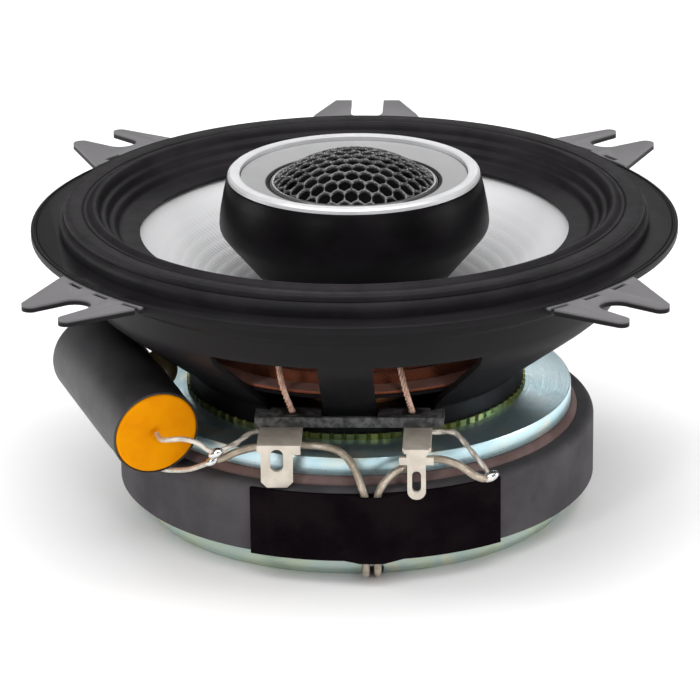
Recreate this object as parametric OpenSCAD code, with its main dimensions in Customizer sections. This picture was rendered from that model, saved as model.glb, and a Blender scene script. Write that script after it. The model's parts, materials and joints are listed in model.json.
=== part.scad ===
// Four-inch coaxial car speaker: pressed steel basket with fork tabs, ferrite
// motor, ribbed rubber surround, dimpled cone, a tweeter on a centre post and a
// film capacitor as its crossover. The origin is on the speaker's axis at the
// underside of the flange, where it meets the panel. +Z points at the listener
// and -Y is the terminal side.

/* [Basket] */
// Outside diameter of the flange
flange_d = 101; // [100.6:0.1:101.4]
// Thickness of the pressed steel sheet
sheet_t = 1; // [0.8:0.05:1.1]
// Width of the screw slots between the prongs
slot_w = 5.4; // [4.6:0.1:5.6]
// Width of the legs between two windows
leg_w = 8.1; // [7.6:0.1:8.5]
// Angle from a leg's middle to the far edge of its windows
window_reach = 29; // [27.5:0.5:31]

/* [Motor] */
// Diameter of the ferrite ring magnet
magnet_d = 70; // [69.6:0.1:70]
// Thickness of the ferrite ring magnet
magnet_h = 12.5; // [12.5:0.1:12.6]
// Diameter of the top plate
top_plate_d = 68; // [67:0.1:68]
// Diameter of the back plate
back_plate_d = 68; // [67:0.1:68]
// Diameter of the pole piece
pole_d = 24.4; // [24:0.05:24.5]
// Diameter of the bore in the top plate
gap_d = 27.2; // [27:0.05:27.6]
// Height of the voice coil winding
winding_h = 8; // [6:0.5:8.5]

/* [Cone] */
// Radius where the cone meets the surround
cone_r = 34.6; // [34:0.1:34.6]
// Thickness of the cone
cone_t = 0.6; // [0.4:0.05:0.7]
// Depth of the cone from its edge to its neck
cone_depth = 13.3; // [12.8:0.1:13.5]

/* [Tweeter] */
// Radius of the tweeter cup at its widest
cup_r = 21.1; // [20.6:0.1:21.4]
// Radius of the silk dome
dome_r = 10.1; // [10:0.05:10.15]
// Height of the protective grille above its rim
grille_rise = 4.8; // [4.5:0.1:5.1]

/* [Crossover and terminals] */
// Radius of the film capacitor
capacitor_r = 6.9; // [6.6:0.1:7]
// Width of the positive push-on tab
positive_tab_w = 4.75; // [4.7:0.05:4.9]
// Width of the negative push-on tab
negative_tab_w = 2.8; // [2.7:0.05:2.9]
// Diameter of the insulated tweeter wires
wire_d = 1.2; // [1:0.05:1.2]
// Diameter of the braided tinsel leads
tinsel_d = 1; // [0.8:0.05:1.1]

/* [Hidden] */

flange_r = flange_d / 2;
slot_root = 56.8;                   // from the axis to the middle of a slot's round root
magnet_r = magnet_d / 2;
top_plate_r = top_plate_d / 2;
back_plate_r = back_plate_d / 2;
clear = 0.05;                       // gap between glued faces that are curved
fine = 96;                          // segments on the large round parts
small = 48;                         // segments on the small round parts

// Heights of the stack, from the flange's underside downwards
basket_floor_z = -24.7;
top_plate_z = -28.7;
magnet_z = top_plate_z - magnet_h;
back_z = -45.2;
seat_h = 1;
plate_h = -(top_plate_z - basket_floor_z + seat_h);
boot_r = magnet_r + 2.6;
boot_top_z = -29.8;
boot_bottom_z = -40.8;

// Basket wall, from the flange down to the floor, as its outer face
floor_r = 26.4;
wall_t = 0.9;
slope_top = [38.9, -11.9];
slope_foot = [27.1, -20.9];
basket_wall = [
    [44, sheet_t / 2], [43.7, -3.6], [42.9, -4.4], [42.5, -7.6], [41.2, -9.9],
    slope_top, slope_foot, [floor_r, -21.9], [floor_r, basket_floor_z]
];
window_top_z = -8.4;
sill_z = -22.85;

// Suspension
neck_r = 12.8;
glue_gap = 0.6;                     // from the cone's line down to its upper face
coil_r = 12.55;
coil_wall = 0.2;
spider_z = -17;
wave_from = 14.5;
wave_to = 26.8;
wave_pitch = (wave_to - wave_from) / 4;

// Tweeter
cup_floor_z = -8.2;
cup_wall = 1.6;
face_r = 17.65;
grille_foot = 6.6;                  // ledge that carries the grille

// Terminal board and tabs
board_w = 28.8;
board_t = 1.6;
board_front = -28.7;
board_z = sill_z;
tab_t = 0.7;
eyelet_y = -26.9;
eyelet_x = [-8.7, 9.5];

// Capacitor, from the middle of its front face to the middle of its far one
capacitor_front = [-29.1, -31.1, -23];
capacitor_rear = [-41.5, -4.9, -19];
capacitor_l = norm(capacitor_rear - capacitor_front);
sleeve_t = 0.35;
seal_r = 5.2;                       // resin at the far end, inside the drawn-in sleeve

// Routes of the wires: points chosen by hand, in millimetres
tinsel_left_route = [
    [-8.7, -26.9, -20.85], [-8.9, -28.2, -19.8], [-9.5, -29.9, -17.2], [-10.2, -29.6, -14.8],
    [-10.7, -27.8, -12.4], [-10.9, -25.4, -10.6], [-10.9, -23.2, -9.8], [-10.8, -22.5, -9.1]
];
tinsel_right_route = [
    [9.5, -26.9, -20.85], [9.4, -28.2, -19.8], [8.9, -30.1, -17.2], [8.3, -29.9, -14.8],
    [7.6, -28.2, -12.4], [7.2, -26, -10.6], [7.2, -24, -9.8], [7.2, -23.2, -9.1]
];
lead_front_route = [
    [-29.1, -31.1, -23], [-28.4, -32.9, -23.2], [-27.1, -34.1, -22.8], [-25, -34.3, -22.6],
    [-22.8, -34.2, -23.2], [-21.2, -34.1, -24.4], [-20, -34, -25]
];
lead_rear_route = [
    [-41.5, -4.9, -19], [-42.1, -3.3, -19.4], [-41.7, -2, -22.2], [-40.3, -2.2, -26.2],
    [-39.4, -8, -28.9], [-37.5, -14, -29.3], [-34.2, -20.5, -29.8], [-29.6, -26.7, -30.3],
    [-25, -30.8, -29], [-22, -32.7, -27.4], [-20.6, -33, -26.6]
];
positive_link_route = [
    [-20, -34, -25], [-18.6, -33.6, -24.4], [-16.8, -32.2, -23.9], [-15.2, -30.4, -23.3],
    [-13.9, -29.4, -23.2]
];
negative_link_route = [
    [12.6, -29.6, -23.2], [14.4, -29.6, -23.1], [16.1, -29.9, -23.2], [17.5, -31.2, -24.2],
    [19.4, -33.4, -25.8], [20.8, -34.8, -27.2], [21.5, -35.3, -28.1]
];
positive_wire_route = [
    [-20.6, -33, -26.6], [-18.8, -32.9, -26.1], [-17, -32.5, -25.4], [-14.4, -32.1, -24.8],
    [-11.4, -32, -24.5], [-8.4, -32.1, -24.4], [-5.4, -32.5, -24.3], [-2.8, -33.2, -24.4],
    [-0.8, -34.2, -24.9], [0.5, -35.5, -26], [1.5, -36.9, -27.5], [2.2, -38, -29.1],
    [2.65, -38.4, -30.6], [2.7, -38.45, -33], [2.7, -38.45, -37], [2.7, -38.45, -40.4],
    [2.7, -38, -41.7], [2.65, -36.9, -43], [2.6, -34.9, -44.2], [2.45, -31, -44.45],
    [2, -25, -44.45], [1.4, -18, -44.45], [0.7, -11, -44.45], [0, -5.6, -44.45],
    [-0.4, -2.8, -44.4], [-0.65, -1, -43.9], [-0.65, -0.2, -42.5], [-0.65, 0, -40],
    [-0.65, 0, -34], [-0.65, 0, -27], [-0.65, 0, -20], [-0.65, 0, -14], [-0.65, 0, -9.6],
    [-0.9, 0, -7.4], [-2.2, 0.2, -5.9], [-5, 0.7, -5.5], [-9, 1.2, -5.5], [-12.6, 1.5, -5.2],
    [-14.4, 1.6, -3.6], [-14.8, 1.6, -1], [-14.8, 1.6, 2.8]
];
negative_wire_route = [
    [21.5, -35.3, -28.1], [20.4, -35.9, -28.2], [18.8, -36, -27.5], [16.8, -35.8, -26.1],
    [14.2, -35.3, -25.4], [11.6, -35.2, -25.5], [9, -35.7, -26.2], [6.6, -36.7, -27.4],
    [5, -37.8, -29.1], [4.5, -38.2, -30.7], [4.45, -38.25, -33], [4.45, -38.25, -37],
    [4.45, -38.25, -40.4], [4.45, -37.8, -41.7], [4.4, -36.7, -43], [4.3, -34.7, -44.2],
    [4.05, -31, -44.45], [3.5, -25, -44.45], [2.9, -18, -44.45], [2.2, -11, -44.45],
    [1.4, -5.6, -44.45], [0.95, -2.8, -44.4], [0.65, -1, -43.9], [0.65, -0.2, -42.5],
    [0.65, 0, -40], [0.65, 0, -34], [0.65, 0, -27], [0.65, 0, -20], [0.65, 0, -14],
    [0.65, 0, -9.6], [0.9, 0, -7.4], [2.2, 0.2, -5.9], [5, 0.7, -5.5], [9, 1.2, -5.5],
    [12.6, 1.5, -5.2], [14.4, 1.6, -3.6], [14.8, 1.6, -1], [14.8, 1.6, 2.8]
];

// ---------------------------------------------------------------- geometry

function unit(v) = v / norm(v);

// Left-hand normal of segment i of a two-dimensional path
function side_of(p, i) = let (d = unit(p[i + 1] - p[i])) [-d.y, d.x];

// Step that moves corner i of a path sideways by one unit, mitred
function mitre(p, i) =
    i == 0 ? side_of(p, 0) :
    i == len(p) - 1 ? side_of(p, i - 1) :
    let (a = side_of(p, i - 1), b = side_of(p, i)) (a + b) / (1 + a * b);

// Outline of a sheet of thickness t on the left of the path p
function sheet_on(p, t) =
    concat(p, [for (i = [len(p) - 1 : -1 : 0]) p[i] + t * mitre(p, i)]);

// Points on an arc about the point c
function arc(c, r, from, to, n = 8) =
    [for (i = [0 : n]) let (a = from + (to - from) * i / n) c + r * [cos(a), sin(a)]];

// Smooth curve through the points p, with n steps between two of them
function curve_at(p, i, t) =
    let (a = p[max(i - 1, 0)], b = p[i], c = p[i + 1], d = p[min(i + 2, len(p) - 1)])
    b + 0.5 * t * (c - a + t * (2 * a - 5 * b + 4 * c - d + t * (3 * b - a - 3 * c + d)));
function smooth(p, n = 2) = concat(
    [for (i = [0 : len(p) - 2]) for (k = [0 : n - 1]) curve_at(p, i, k / n)],
    [p[len(p) - 1]]
);

// Direction of a path at its point i, and a side vector carried along the path
function heading(p, i) = unit(p[min(i + 1, len(p) - 1)] - p[max(i - 1, 0)]);
function across(v, d) = unit(v - (v * d) * d);
function sides(p) = [
    for (i = 0, s = across([0.2, 0.1, 1], heading(p, 0)); i < len(p);
         i = i + 1, s = i < len(p) ? across(s, heading(p, i)) : s) s
];

// A round tube of diameter d swept along the path p
module tube(p, d, n = 8) {
    s = sides(p);
    points = [
        for (i = [0 : len(p) - 1]) for (k = [0 : n - 1])
            let (a = 360 * k / n, h = heading(p, i))
            p[i] + d / 2 * (cos(a) * s[i] + sin(a) * cross(h, s[i]))
    ];
    walls = [
        for (i = [0 : len(p) - 2]) for (k = [0 : n - 1])
            let (j = (k + 1) % n)
            [i * n + k, (i + 1) * n + k, (i + 1) * n + j, i * n + j]
    ];
    polyhedron(
        points,
        concat(walls, [[for (k = [0 : n - 1]) k],
                       [for (k = [n - 1 : -1 : 0]) (len(p) - 1) * n + k]]),
        convexity = 10
    );
}

// Turns +Z onto the line from a to b, with the children's origin at a
module along(a, b) {
    v = b - a;
    translate(a) rotate([0, acos(v.z / norm(v)), atan2(v.y, v.x)]) children();
}

// A disc or ring between two heights
module ring(outer, inner, bottom, top, segments = fine) {
    translate([0, 0, bottom]) difference() {
        cylinder(h = top - bottom, r = outer, $fn = segments);
        if (inner > 0) translate([0, 0, -1])
            cylinder(h = top - bottom + 2, r = inner, $fn = segments);
    }
}

module turned(outline, segments = fine) {
    rotate_extrude($fn = segments) polygon(outline);
}

// ------------------------------------------------------------------ basket

// Fork tab in its own frame: +X runs outwards along the screw slot
module fork_outline() {
    half = slot_w / 2;
    difference() {
        union() {
            polygon([
                [46, -12.2], [51.3, -10.5], [61.6, -6.1], [60.9, -3.5], [slot_root, -half],
                [slot_root, half], [61.2, 2.6], [61.8, 4.9], [48.4, 8.5], [46, 8.5]
            ]);
            translate([60.9, -4.9]) circle(r = 1.4, $fn = 32);
            translate([61.3, 3.8]) circle(r = 1.2, $fn = 32);
        }
        translate([slot_root, 0]) circle(r = half, $fn = 32);
    }
}

// Three slits across the root of a fork, where it can be bent or broken off
module fork_slits() {
    for (a = [-7, 0, 7]) rotate(a) translate([51.5, 0]) square([0.9, 3.2], center = true);
}

// Pair of square prongs behind the flange
module rear_tab_outline() {
    difference() {
        polygon([
            [-10.5, 48], [-8.5, 55.8], [-5.4, 63.9], [5.4, 63.9], [8.5, 55.8], [10.5, 48]
        ]);
        translate([0, slot_root]) circle(r = slot_w / 2, $fn = 32);
        translate([-slot_w / 2, slot_root]) square([slot_w, 10]);
    }
}

// The four forks stand at the diagonals, each pair a mirror image of the other
module at_forks() {
    for (front = [0, 1]) mirror([0, front, 0]) for (left = [0, 1]) mirror([left, 0, 0])
        rotate(45) children();
}

// Plan of the windows beside the front leg; the rear ones mirror it
module window_plan() {
    near = 17;
    far = 60;
    edge = [sin(window_reach), -cos(window_reach)];
    for (s = [-1, 1]) scale([s, 1]) polygon([
        [leg_w / 2, -near], near * edge, far * edge, [leg_w / 2, -far]
    ]);
}

module basket() {
    color([0.1, 0.1, 0.11]) difference() {
        union() {
            linear_extrude(sheet_t) difference() {
                union() {
                    circle(r = flange_r, $fn = fine);
                    at_forks() fork_outline();
                    rear_tab_outline();
                }
                circle(r = 43.1, $fn = fine);
                at_forks() fork_slits();
            }
            turned(sheet_on([for (i = [len(basket_wall) - 1 : -1 : 0]) basket_wall[i]], wall_t));
            ring(floor_r - wall_t / 2, 16, basket_floor_z, basket_floor_z + wall_t);
        }
        for (side = [0, 1]) mirror([0, side, 0]) translate([0, 0, sill_z])
            linear_extrude(window_top_z - sill_z) window_plan();
    }
}

// Serrated clinch ring that locks the basket to the top plate
module seat_ring() {
    color([0.62, 0.66, 0.3]) difference() {
        ring(26.8, 15.6, basket_floor_z - seat_h, basket_floor_z);
        for (a = [0 : 4 : 356]) rotate(a) translate([26.9, 0, basket_floor_z - seat_h - 0.1])
            rotate(45) translate([-0.35, -0.35, 0]) cube([0.7, 0.7, seat_h + 0.2]);
    }
}

// ------------------------------------------------------------------- motor

module top_plate() {
    color([0.72, 0.78, 0.8]) ring(top_plate_r, gap_d / 2, top_plate_z, top_plate_z + plate_h);
}

module magnet() {
    c = 0.8;
    color([0.42, 0.3, 0.3]) turned([
        [16.2, magnet_z], [magnet_r - c, magnet_z], [magnet_r, magnet_z + c],
        [magnet_r, top_plate_z - c], [magnet_r - c, top_plate_z], [16.2, top_plate_z]
    ]);
}

// Back plate and pole in one piece, with a groove for the tweeter's wires
module yoke() {
    bolt_hole = 3.3;
    recess_r = 6.6;
    groove = [40, 3.4, 1.75];
    fillet = 1.7;
    color([0.55, 0.6, 0.55]) difference() {
        union() {
            turned(concat(
                [[0, magnet_z], [0, back_z]],
                arc([back_plate_r - fillet, back_z + fillet], fillet, -90, 0),
                [[back_plate_r, magnet_z]]
            ));
            ring(pole_d / 2, 0, magnet_z, top_plate_z + plate_h);
        }
        ring(bolt_hole, 0, back_z - 1, 0, small);
        ring(recess_r, 0, back_z - 1, -41.4, small);
        rotate(-84) translate([0, -groove.y / 2, back_z - 1]) cube(groove + [0, 0, 1]);
    }
}

module magnet_boot() {
    inner = magnet_r + clear;
    lip = 1.2;
    color([0.2, 0.2, 0.21]) turned(concat(
        [[inner, boot_bottom_z], [boot_r - 0.5, boot_bottom_z], [boot_r, boot_bottom_z + 0.5]],
        arc([boot_r - lip, boot_top_z - lip], lip, 0, 90),
        [[inner, boot_top_z]]
    ));
}

// Self-adhesive felt that holds the two wires against the boot
module felt_patch() {
    inner = boot_r + clear;
    outer = boot_r + 0.7;
    wire_at = [[2.7, -38.45], [4.45, -38.25]];
    middle = (wire_at[0] + wire_at[1]) / 2;
    span = wire_at[1].x - wire_at[0].x;
    cover = wire_d / 2 + 0.55;
    crest = span / 2 + 0.9;
    foot = crest + 3.1;
    far = 60;
    color([0.09, 0.09, 0.09]) translate([0, 0, boot_bottom_z]) linear_extrude(10.8)
        difference() {
            union() {
                intersection() {
                    circle(r = outer, $fn = fine);
                    polygon([[0, 0], far * [cos(-113), sin(-113)], [0, -far],
                             far * [cos(-53), sin(-53)]]);
                }
                translate(middle) polygon([
                    [-foot, 0.4], [-crest, -cover], [crest, -cover], [foot, 1], [0, 1.2]
                ]);
            }
            circle(r = inner, $fn = fine);
            translate(middle) square([span + wire_d + 0.5, wire_d + 0.45], center = true);
        }
}

// -------------------------------------------------------------- suspension

// Raised rubber ring that the speaker is sealed with
module gasket() {
    color([0.1, 0.1, 0.1]) turned([
        [41, sheet_t], [46, sheet_t], [45.9, 2.5], [45.3, 3.2], [41.2, 3.2], [41, 2.8]
    ]);
}

// Rubber sheet over the gasket, stepping down in rolls to the cone's edge
module surround() {
    path = [
        [33.5, -0.15], [35.2, 0.2], [36.6, 0.6], [37.3, 1.5], [38.1, 1.9], [38.6, 2.8],
        [39.4, 3.1], [39.9, 4], [40.6, 4.4], [41.6, 3.95], [42.4, 3.95], [43.6, 4.15],
        [44.6, 4.1], [45.2, 3.85]
    ];
    color([0.12, 0.12, 0.12]) turned(sheet_on([for (i = [len(path) - 1 : -1 : 0]) path[i]], 0.6));
}

// Ledge inside the basket that the spider is glued to
module spider_ring() {
    color([0.16, 0.15, 0.15]) turned([
        [27, spider_z - 1], [29.3, spider_z - 1], [30.6, spider_z], [27, spider_z]
    ]);
}

// Height of the spider's waves at radius r, flat at the neck and on the ledge
function spider_wave(r) =
    r > wave_to || r < wave_from ? 0 : 0.9 * sin(360 * (r - wave_from) / wave_pitch);

module spider() {
    path = [for (i = [0 : 56]) let (r = neck_r + clear + i * (30.1 - neck_r) / 56)
            [r, spider_z + spider_wave(r)]];
    color([0.5, 0.22, 0.12]) turned(sheet_on(path, 0.4));
}

// Height of the cone's upper face at radius r: nearly straight, a little hollow
function cone_z(r) =
    let (t = (cone_r - r) / (cone_r - neck_r))
    -cone_depth * t - 1.1 * sin(180 * t) * (1 - t);

// The cone's upper face from its edge to its neck, just under the surround
function cone_path(steps = 16) =
    [for (i = [0 : steps]) let (r = cone_r - i * (cone_r - neck_r) / steps)
        [r, cone_z(r) - glue_gap]];

module cone() {
    neck = [[neck_r, spider_z + 2.2]];
    color([0.75, 0.76, 0.78]) turned(sheet_on(concat(cone_path(), neck), cone_t));
}

module voice_coil_former() {
    color([0.62, 0.42, 0.2])
        ring(coil_r + coil_wall, coil_r, top_plate_z - 3, -13.4);
}

module voice_coil_winding() {
    middle = top_plate_z + plate_h / 2;
    color([0.72, 0.4, 0.2])
        ring(coil_r + coil_wall + 0.45, coil_r + coil_wall + 0.02,
             middle - winding_h / 2, middle + winding_h / 2);
}

// Drops of cement that fix the tinsel leads to the back of the cone
module cone_lead_anchors() {
    back = [for (p = sheet_on(cone_path(), cone_t)) if (p.y < cone_z(p.x) - glue_gap - 0.2) p];
    color([0.1, 0.1, 0.1]) difference() {
        for (route = [tinsel_left_route, tinsel_right_route])
            translate(route[len(route) - 1] + [0, 0, 0.6])
                cylinder(h = 4, r1 = 1.1, r2 = 2.4, $fn = 32);
        turned(concat([for (p = back) p - [0, 0.02]], [[cone_r, 5], [neck_r, 5]]));
    }
}

// ----------------------------------------------------------------- tweeter

// Column on the pole that carries the tweeter
module tweeter_post() {
    foot_z = top_plate_z + plate_h;
    color([0.12, 0.12, 0.12]) difference() {
        union() {
            ring(9.5, 0, foot_z, cup_floor_z, small);
            ring(11.6, 0, foot_z, foot_z + 1.6, small);
        }
        ring(3.3, 0, foot_z - 1, 0, small);
        ring(4.55, 0, -15, 0, small);
        at_cup_screws() translate([0, 0, -14.5]) cylinder(h = 10, r = 1.12, $fn = 32);
    }
}

// Hollow bolt that clamps the post to the pole; the wires run through it
module post_bolt() {
    color([0.75, 0.74, 0.7]) difference() {
        union() {
            ring(2.95, 0, -43.6, -10.4, small);
            translate([0, 0, -43.6]) cylinder(h = 2.2, r = 5.77, $fn = 6);
        }
        ring(1.9, 0, -50, 0, small);
    }
}

module post_insert() {
    color([0.8, 0.65, 0.3]) ring(4.5, 3, -15, -10, small);
}

module at_cup_screws() {
    for (a = [90, 210, 330]) rotate(a) translate([7.2, 0, 0]) children();
}

module cup_screws() {
    seat_z = cup_floor_z + cup_wall;
    color([0.7, 0.7, 0.68]) at_cup_screws() difference() {
        union() {
            translate([0, 0, -14]) cylinder(h = seat_z + 14, r = 1.08, $fn = 32);
            translate([0, 0, seat_z]) cylinder(h = 1.3, r = 1.95, $fn = 32);
        }
        translate([0, 0, seat_z + 1.3]) cube([2.6, 0.5, 1.2], center = true);
        translate([0, 0, seat_z + 1.3]) cube([0.5, 2.6, 1.2], center = true);
    }
}

module tweeter_cup() {
    inner_z = cup_floor_z + cup_wall;
    color([0.1, 0.1, 0.1]) difference() {
        turned([
            [2.6, cup_floor_z], [14.4, cup_floor_z], [19.6, -1.9], [cup_r - 0.3, -0.3],
            [cup_r, 0.9], [cup_r - 0.25, 3.2], [cup_r - 0.8, 6], [19.7, 8.15], [17.75, 8.15],
            [17.75, 3.2], [17, 3.2], [17, -2.4], [13.6, inner_z], [2.6, inner_z]
        ]);
        at_cup_screws() translate([0, 0, -10]) cylinder(h = 10, r = 1.3, $fn = 32);
    }
}

module tweeter_trim_ring() {
    color([0.85, 0.85, 0.86]) turned([
        [17.8, 8.2], [19.7, 8.2], [19.65, 8.7], [19.3, 9], [18.1, 9], [17.8, 8.9]
    ]);
}

// Shallow horn around the dome, with the ledge that carries the grille
module tweeter_faceplate() {
    color([0.7, 0.7, 0.71]) turned([
        [13.5, 5.45], [face_r, 5.45], [face_r, 8.3], [13.3, 7.15], [13.3, grille_foot],
        [12.5, grille_foot], [12.9, 5.9], [13.5, 5.9]
    ]);
}

// Domed mesh over the tweeter, drawn here as its closed envelope
module tweeter_grille() {
    half = 12.6;
    rim_z = grille_foot + 0.5;
    t = 0.38;
    ball = (half * half + grille_rise * grille_rise) / (2 * grille_rise);
    lean = asin(half / ball);
    centre = [0, rim_z + grille_rise - ball];
    color([0.08, 0.08, 0.08]) turned(concat(
        arc(centre, ball, 90, 90 - lean, 16),
        [[13.25, rim_z], [13.25, grille_foot + 0.02], [half - 0.05, grille_foot + 0.02]],
        arc(centre, ball - t, 90 - asin((half - 0.05) / (ball - t)), 90, 16)
    ));
}

module tweeter_yoke() {
    color([0.7, 0.7, 0.66]) turned([
        [0, -4.4], [12.6, -4.4], [13, -4], [13, 4.2], [10.8, 4.2], [10.8, -2.2], [0, -2.2]
    ], small);
}

module tweeter_magnet() {
    color([0.55, 0.55, 0.57]) ring(8.8, 0, -2.2, 2, small);
}

module tweeter_pole_plate() {
    color([0.7, 0.7, 0.66]) ring(9.6, 0, 2, 4.2, small);
}

// Plastic ring that holds the tweeter's motor and clamps its diaphragm
module tweeter_chassis() {
    color([0.14, 0.14, 0.15]) turned([
        [13.05, 3.25], [face_r, 3.25], [face_r, 5.4], [10.95, 5.4], [10.95, 4.25], [13.05, 4.25]
    ], small);
}

// Half roll and flat rim that let the dome move
module tweeter_surround() {
    path = concat([[13.2, 5.42], [12.3, 5.45]], arc([11.3, 5.5], 0.95, 0, 180, 10));
    color([0.13, 0.13, 0.14]) turned(sheet_on(path, -0.2), small);
}

module tweeter_dome() {
    rise = 3.3;
    ball = (dome_r * dome_r + rise * rise) / (2 * rise);
    centre = [0, 5.6 + rise - ball];
    lean = asin(dome_r / ball);
    color([0.13, 0.13, 0.14]) turned(concat(
        arc(centre, ball, 90, 90 - lean, 14), arc(centre, ball - 0.25, 90 - lean, 90, 14)
    ), small);
}

module tweeter_coil_former() {
    color([0.62, 0.42, 0.2]) ring(10.12, 10, 1.2, 5.35, small);
}

module tweeter_coil_winding() {
    color([0.72, 0.4, 0.2]) ring(10.4, 10.14, 1.6, 4.4, small);
}

// Solder tags of the tweeter, under the rim of its chassis
module tweeter_tags() {
    color([0.8, 0.78, 0.7]) for (s = [-1, 1])
        translate([s * 15.3 - 1.2, 0.4, 2.85]) cube([2.4, 2.4, 0.35]);
}

// --------------------------------------------------------------- terminals

// Fibre board that hooks round the front leg and rests on the window sills
module terminal_board() {
    rear_y = -24.3;
    tongue = 12.2;
    notch = leg_w / 2 + 0.3;
    color([0.12, 0.12, 0.12]) translate([0, 0, board_z]) difference() {
        linear_extrude(board_t) difference() {
            translate([-board_w / 2, board_front]) square([board_w, rear_y - board_front]);
            translate([-notch, -28]) square([2 * notch, 6]);
            for (s = [-1, 1]) scale([s, 1]) polygon([
                [tongue, -20], [tongue, -25.3], [board_w / 2 + 1, -24.2], [board_w / 2 + 1, -20]
            ]);
        }
        for (x = eyelet_x) translate([x, eyelet_y, -1]) cylinder(h = 4, r = 0.95, $fn = 32);
    }
}

// Side view of a tab: foot under the board, then a right-angled bend down.
// reach is how far out the bend stands and low how far down the blade goes.
module tab(foot, neck, reach) {
    difference() {
        union() {
            translate([foot.x, -reach, board_z - tab_t])
                cube([foot.y - foot.x, reach - 25.6, tab_t]);
            children(0);
        }
        translate([neck, eyelet_y, board_z - 2]) cylinder(h = 3, r = 0.95, $fn = 32);
    }
}

// Blade of a tab, drawn in X and Z and standing at the given distance
module blade(reach) {
    translate([0, -reach, 0]) rotate([90, 0, 0]) linear_extrude(tab_t) children();
}

module terminal_positive() {
    reach = 35.6;
    mid = -10.7;
    half = positive_tab_w / 2 + 0.05;
    foot_z = -29.65;
    slot_rise = 4.34;
    cut = 0.9;
    color([0.85, 0.8, 0.72]) tab([-13.7, -7.1], eyelet_x[0], reach) blade(reach)
        difference() {
            polygon([
                [-13.7, board_z], [-13.7, board_z - tab_t - 0.3], [-13.2, board_z - tab_t - 0.6],
                [mid - half, board_z - tab_t - 0.6], [mid - half, foot_z + cut],
                [mid - half + cut, foot_z], [mid + half - cut, foot_z],
                [mid + half, foot_z + cut], [mid + half, board_z - tab_t - 0.8],
                [-7.1, board_z - tab_t - 0.8], [-7.1, board_z]
            ]);
            translate([mid, foot_z + slot_rise]) slot_plan(2, 3.6);
        }
}

module terminal_negative() {
    reach = 37.1;
    mid = 10.4;
    half = negative_tab_w / 2;
    wing = 2.6;
    foot_z = -30.95;
    slot_rise = 2.9;
    color([0.85, 0.8, 0.72]) tab([8.3, 12.6], eyelet_x[1], reach) blade(reach)
        difference() {
            union() {
                translate([mid - 1.9, board_z - tab_t]) square([3.8, tab_t]);
                translate([mid - 1.5, board_z - tab_t - 0.6]) square([3, 1]);
                translate([mid - wing, board_z - tab_t - 1.8]) square([2 * wing, 1.2]);
                translate([mid - half, foot_z + half]) square([2 * half, 6]);
                translate([mid, foot_z + half]) circle(r = half, $fn = 32);
            }
            translate([mid, foot_z + slot_rise]) slot_plan(1.35, 3.4);
        }
}

// Upright slot with round ends
module slot_plan(w, l) {
    square([w, l - w], center = true);
    for (s = [-1, 1]) translate([0, s * (l - w) / 2]) circle(d = w, $fn = 32);
}

// Hollow rivets that hold the tabs and take the tinsel leads
module terminal_eyelets() {
    top = board_z + board_t;
    foot = board_z - tab_t;
    color([0.8, 0.78, 0.72]) for (x = eyelet_x) translate([x, eyelet_y, 0]) difference() {
        union() {
            ring(0.9, 0, foot - 0.3, top + 0.3, 32);
            ring(1.5, 0, top, top + 0.3, 32);
            ring(1.4, 0, foot - 0.3, foot, 32);
        }
        ring(0.55, 0, top - 0.8, top + 1, 32);
    }
}

module tinsel_lead_left() {
    color([0.72, 0.5, 0.38]) tube(smooth(tinsel_left_route), tinsel_d);
}

module tinsel_lead_right() {
    color([0.72, 0.5, 0.38]) tube(smooth(tinsel_right_route), tinsel_d);
}

// --------------------------------------------------------------- crossover

// Shrink sleeve, open at the front and drawn in at the far end
module capacitor_sleeve() {
    r = capacitor_r;
    round = r - seal_r;
    color([0.12, 0.12, 0.12]) along(capacitor_front, capacitor_rear) turned(concat(
        [[r - sleeve_t, 0], [r, 0]],
        arc([r - round, capacitor_l - round], round, 0, 90),
        arc([r - round, capacitor_l - round], round - sleeve_t, 90, 0)
    ), small);
}

module capacitor_winding() {
    color([0.8, 0.8, 0.8]) along(capacitor_front, capacitor_rear)
        ring(capacitor_r - sleeve_t - 0.5, 0, 1.8, capacitor_l - 3.2, small);
}

// Poured resin at both ends
module capacitor_seals() {
    r = capacitor_r - sleeve_t - clear;
    color([0.95, 0.65, 0.05]) along(capacitor_front, capacitor_rear) {
        turned([[0, 0], [r - 0.6, 0.1], [r, 0.5], [r, 1.75], [0, 1.75]], small);
        turned([
            [0, capacitor_l - 3.15], [seal_r - 0.6, capacitor_l - 3.15],
            [seal_r - 0.6, capacitor_l - 0.2], [0, capacitor_l - 0.1]
        ], small);
    }
}

module capacitor_lead_front() {
    color([0.85, 0.83, 0.8]) tube(smooth(lead_front_route), 0.8);
}

module capacitor_lead_rear() {
    color([0.85, 0.83, 0.8]) tube(smooth(lead_rear_route), 0.8);
}

// Cement between the capacitor and the basket's slope
module capacitor_adhesive() {
    middle = (capacitor_front + capacitor_rear) / 2;
    color([0.7, 0.66, 0.5]) difference() {
        translate(middle + [5.3, 2.2, 2.7]) sphere(r = 3, $fn = 32);
        along(capacitor_front, capacitor_rear) translate([0, 0, -1])
            cylinder(h = capacitor_l + 2, r = capacitor_r + 0.02, $fn = small);
        turned([[0, -8], slope_top + [1.5, 1.5], slope_top + [0.02, -0.03],
                slope_foot + [0.02, -0.03], [floor_r, -40], [0, -40]]);
    }
}

module positive_link() {
    color([0.85, 0.8, 0.75]) tube(smooth(positive_link_route), 0.9);
}

module negative_link() {
    color([0.85, 0.8, 0.75]) tube(smooth(negative_link_route), 0.9);
}

// Twisted and soldered joints of the leads
module solder_joints() {
    color([0.8, 0.8, 0.8]) {
        translate(positive_link_route[0]) sphere(r = 1.05, $fn = 32);
        translate(positive_wire_route[0]) sphere(r = 0.95, $fn = 32);
        translate(negative_wire_route[0]) sphere(r = 1.1, $fn = 32);
    }
}

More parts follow.
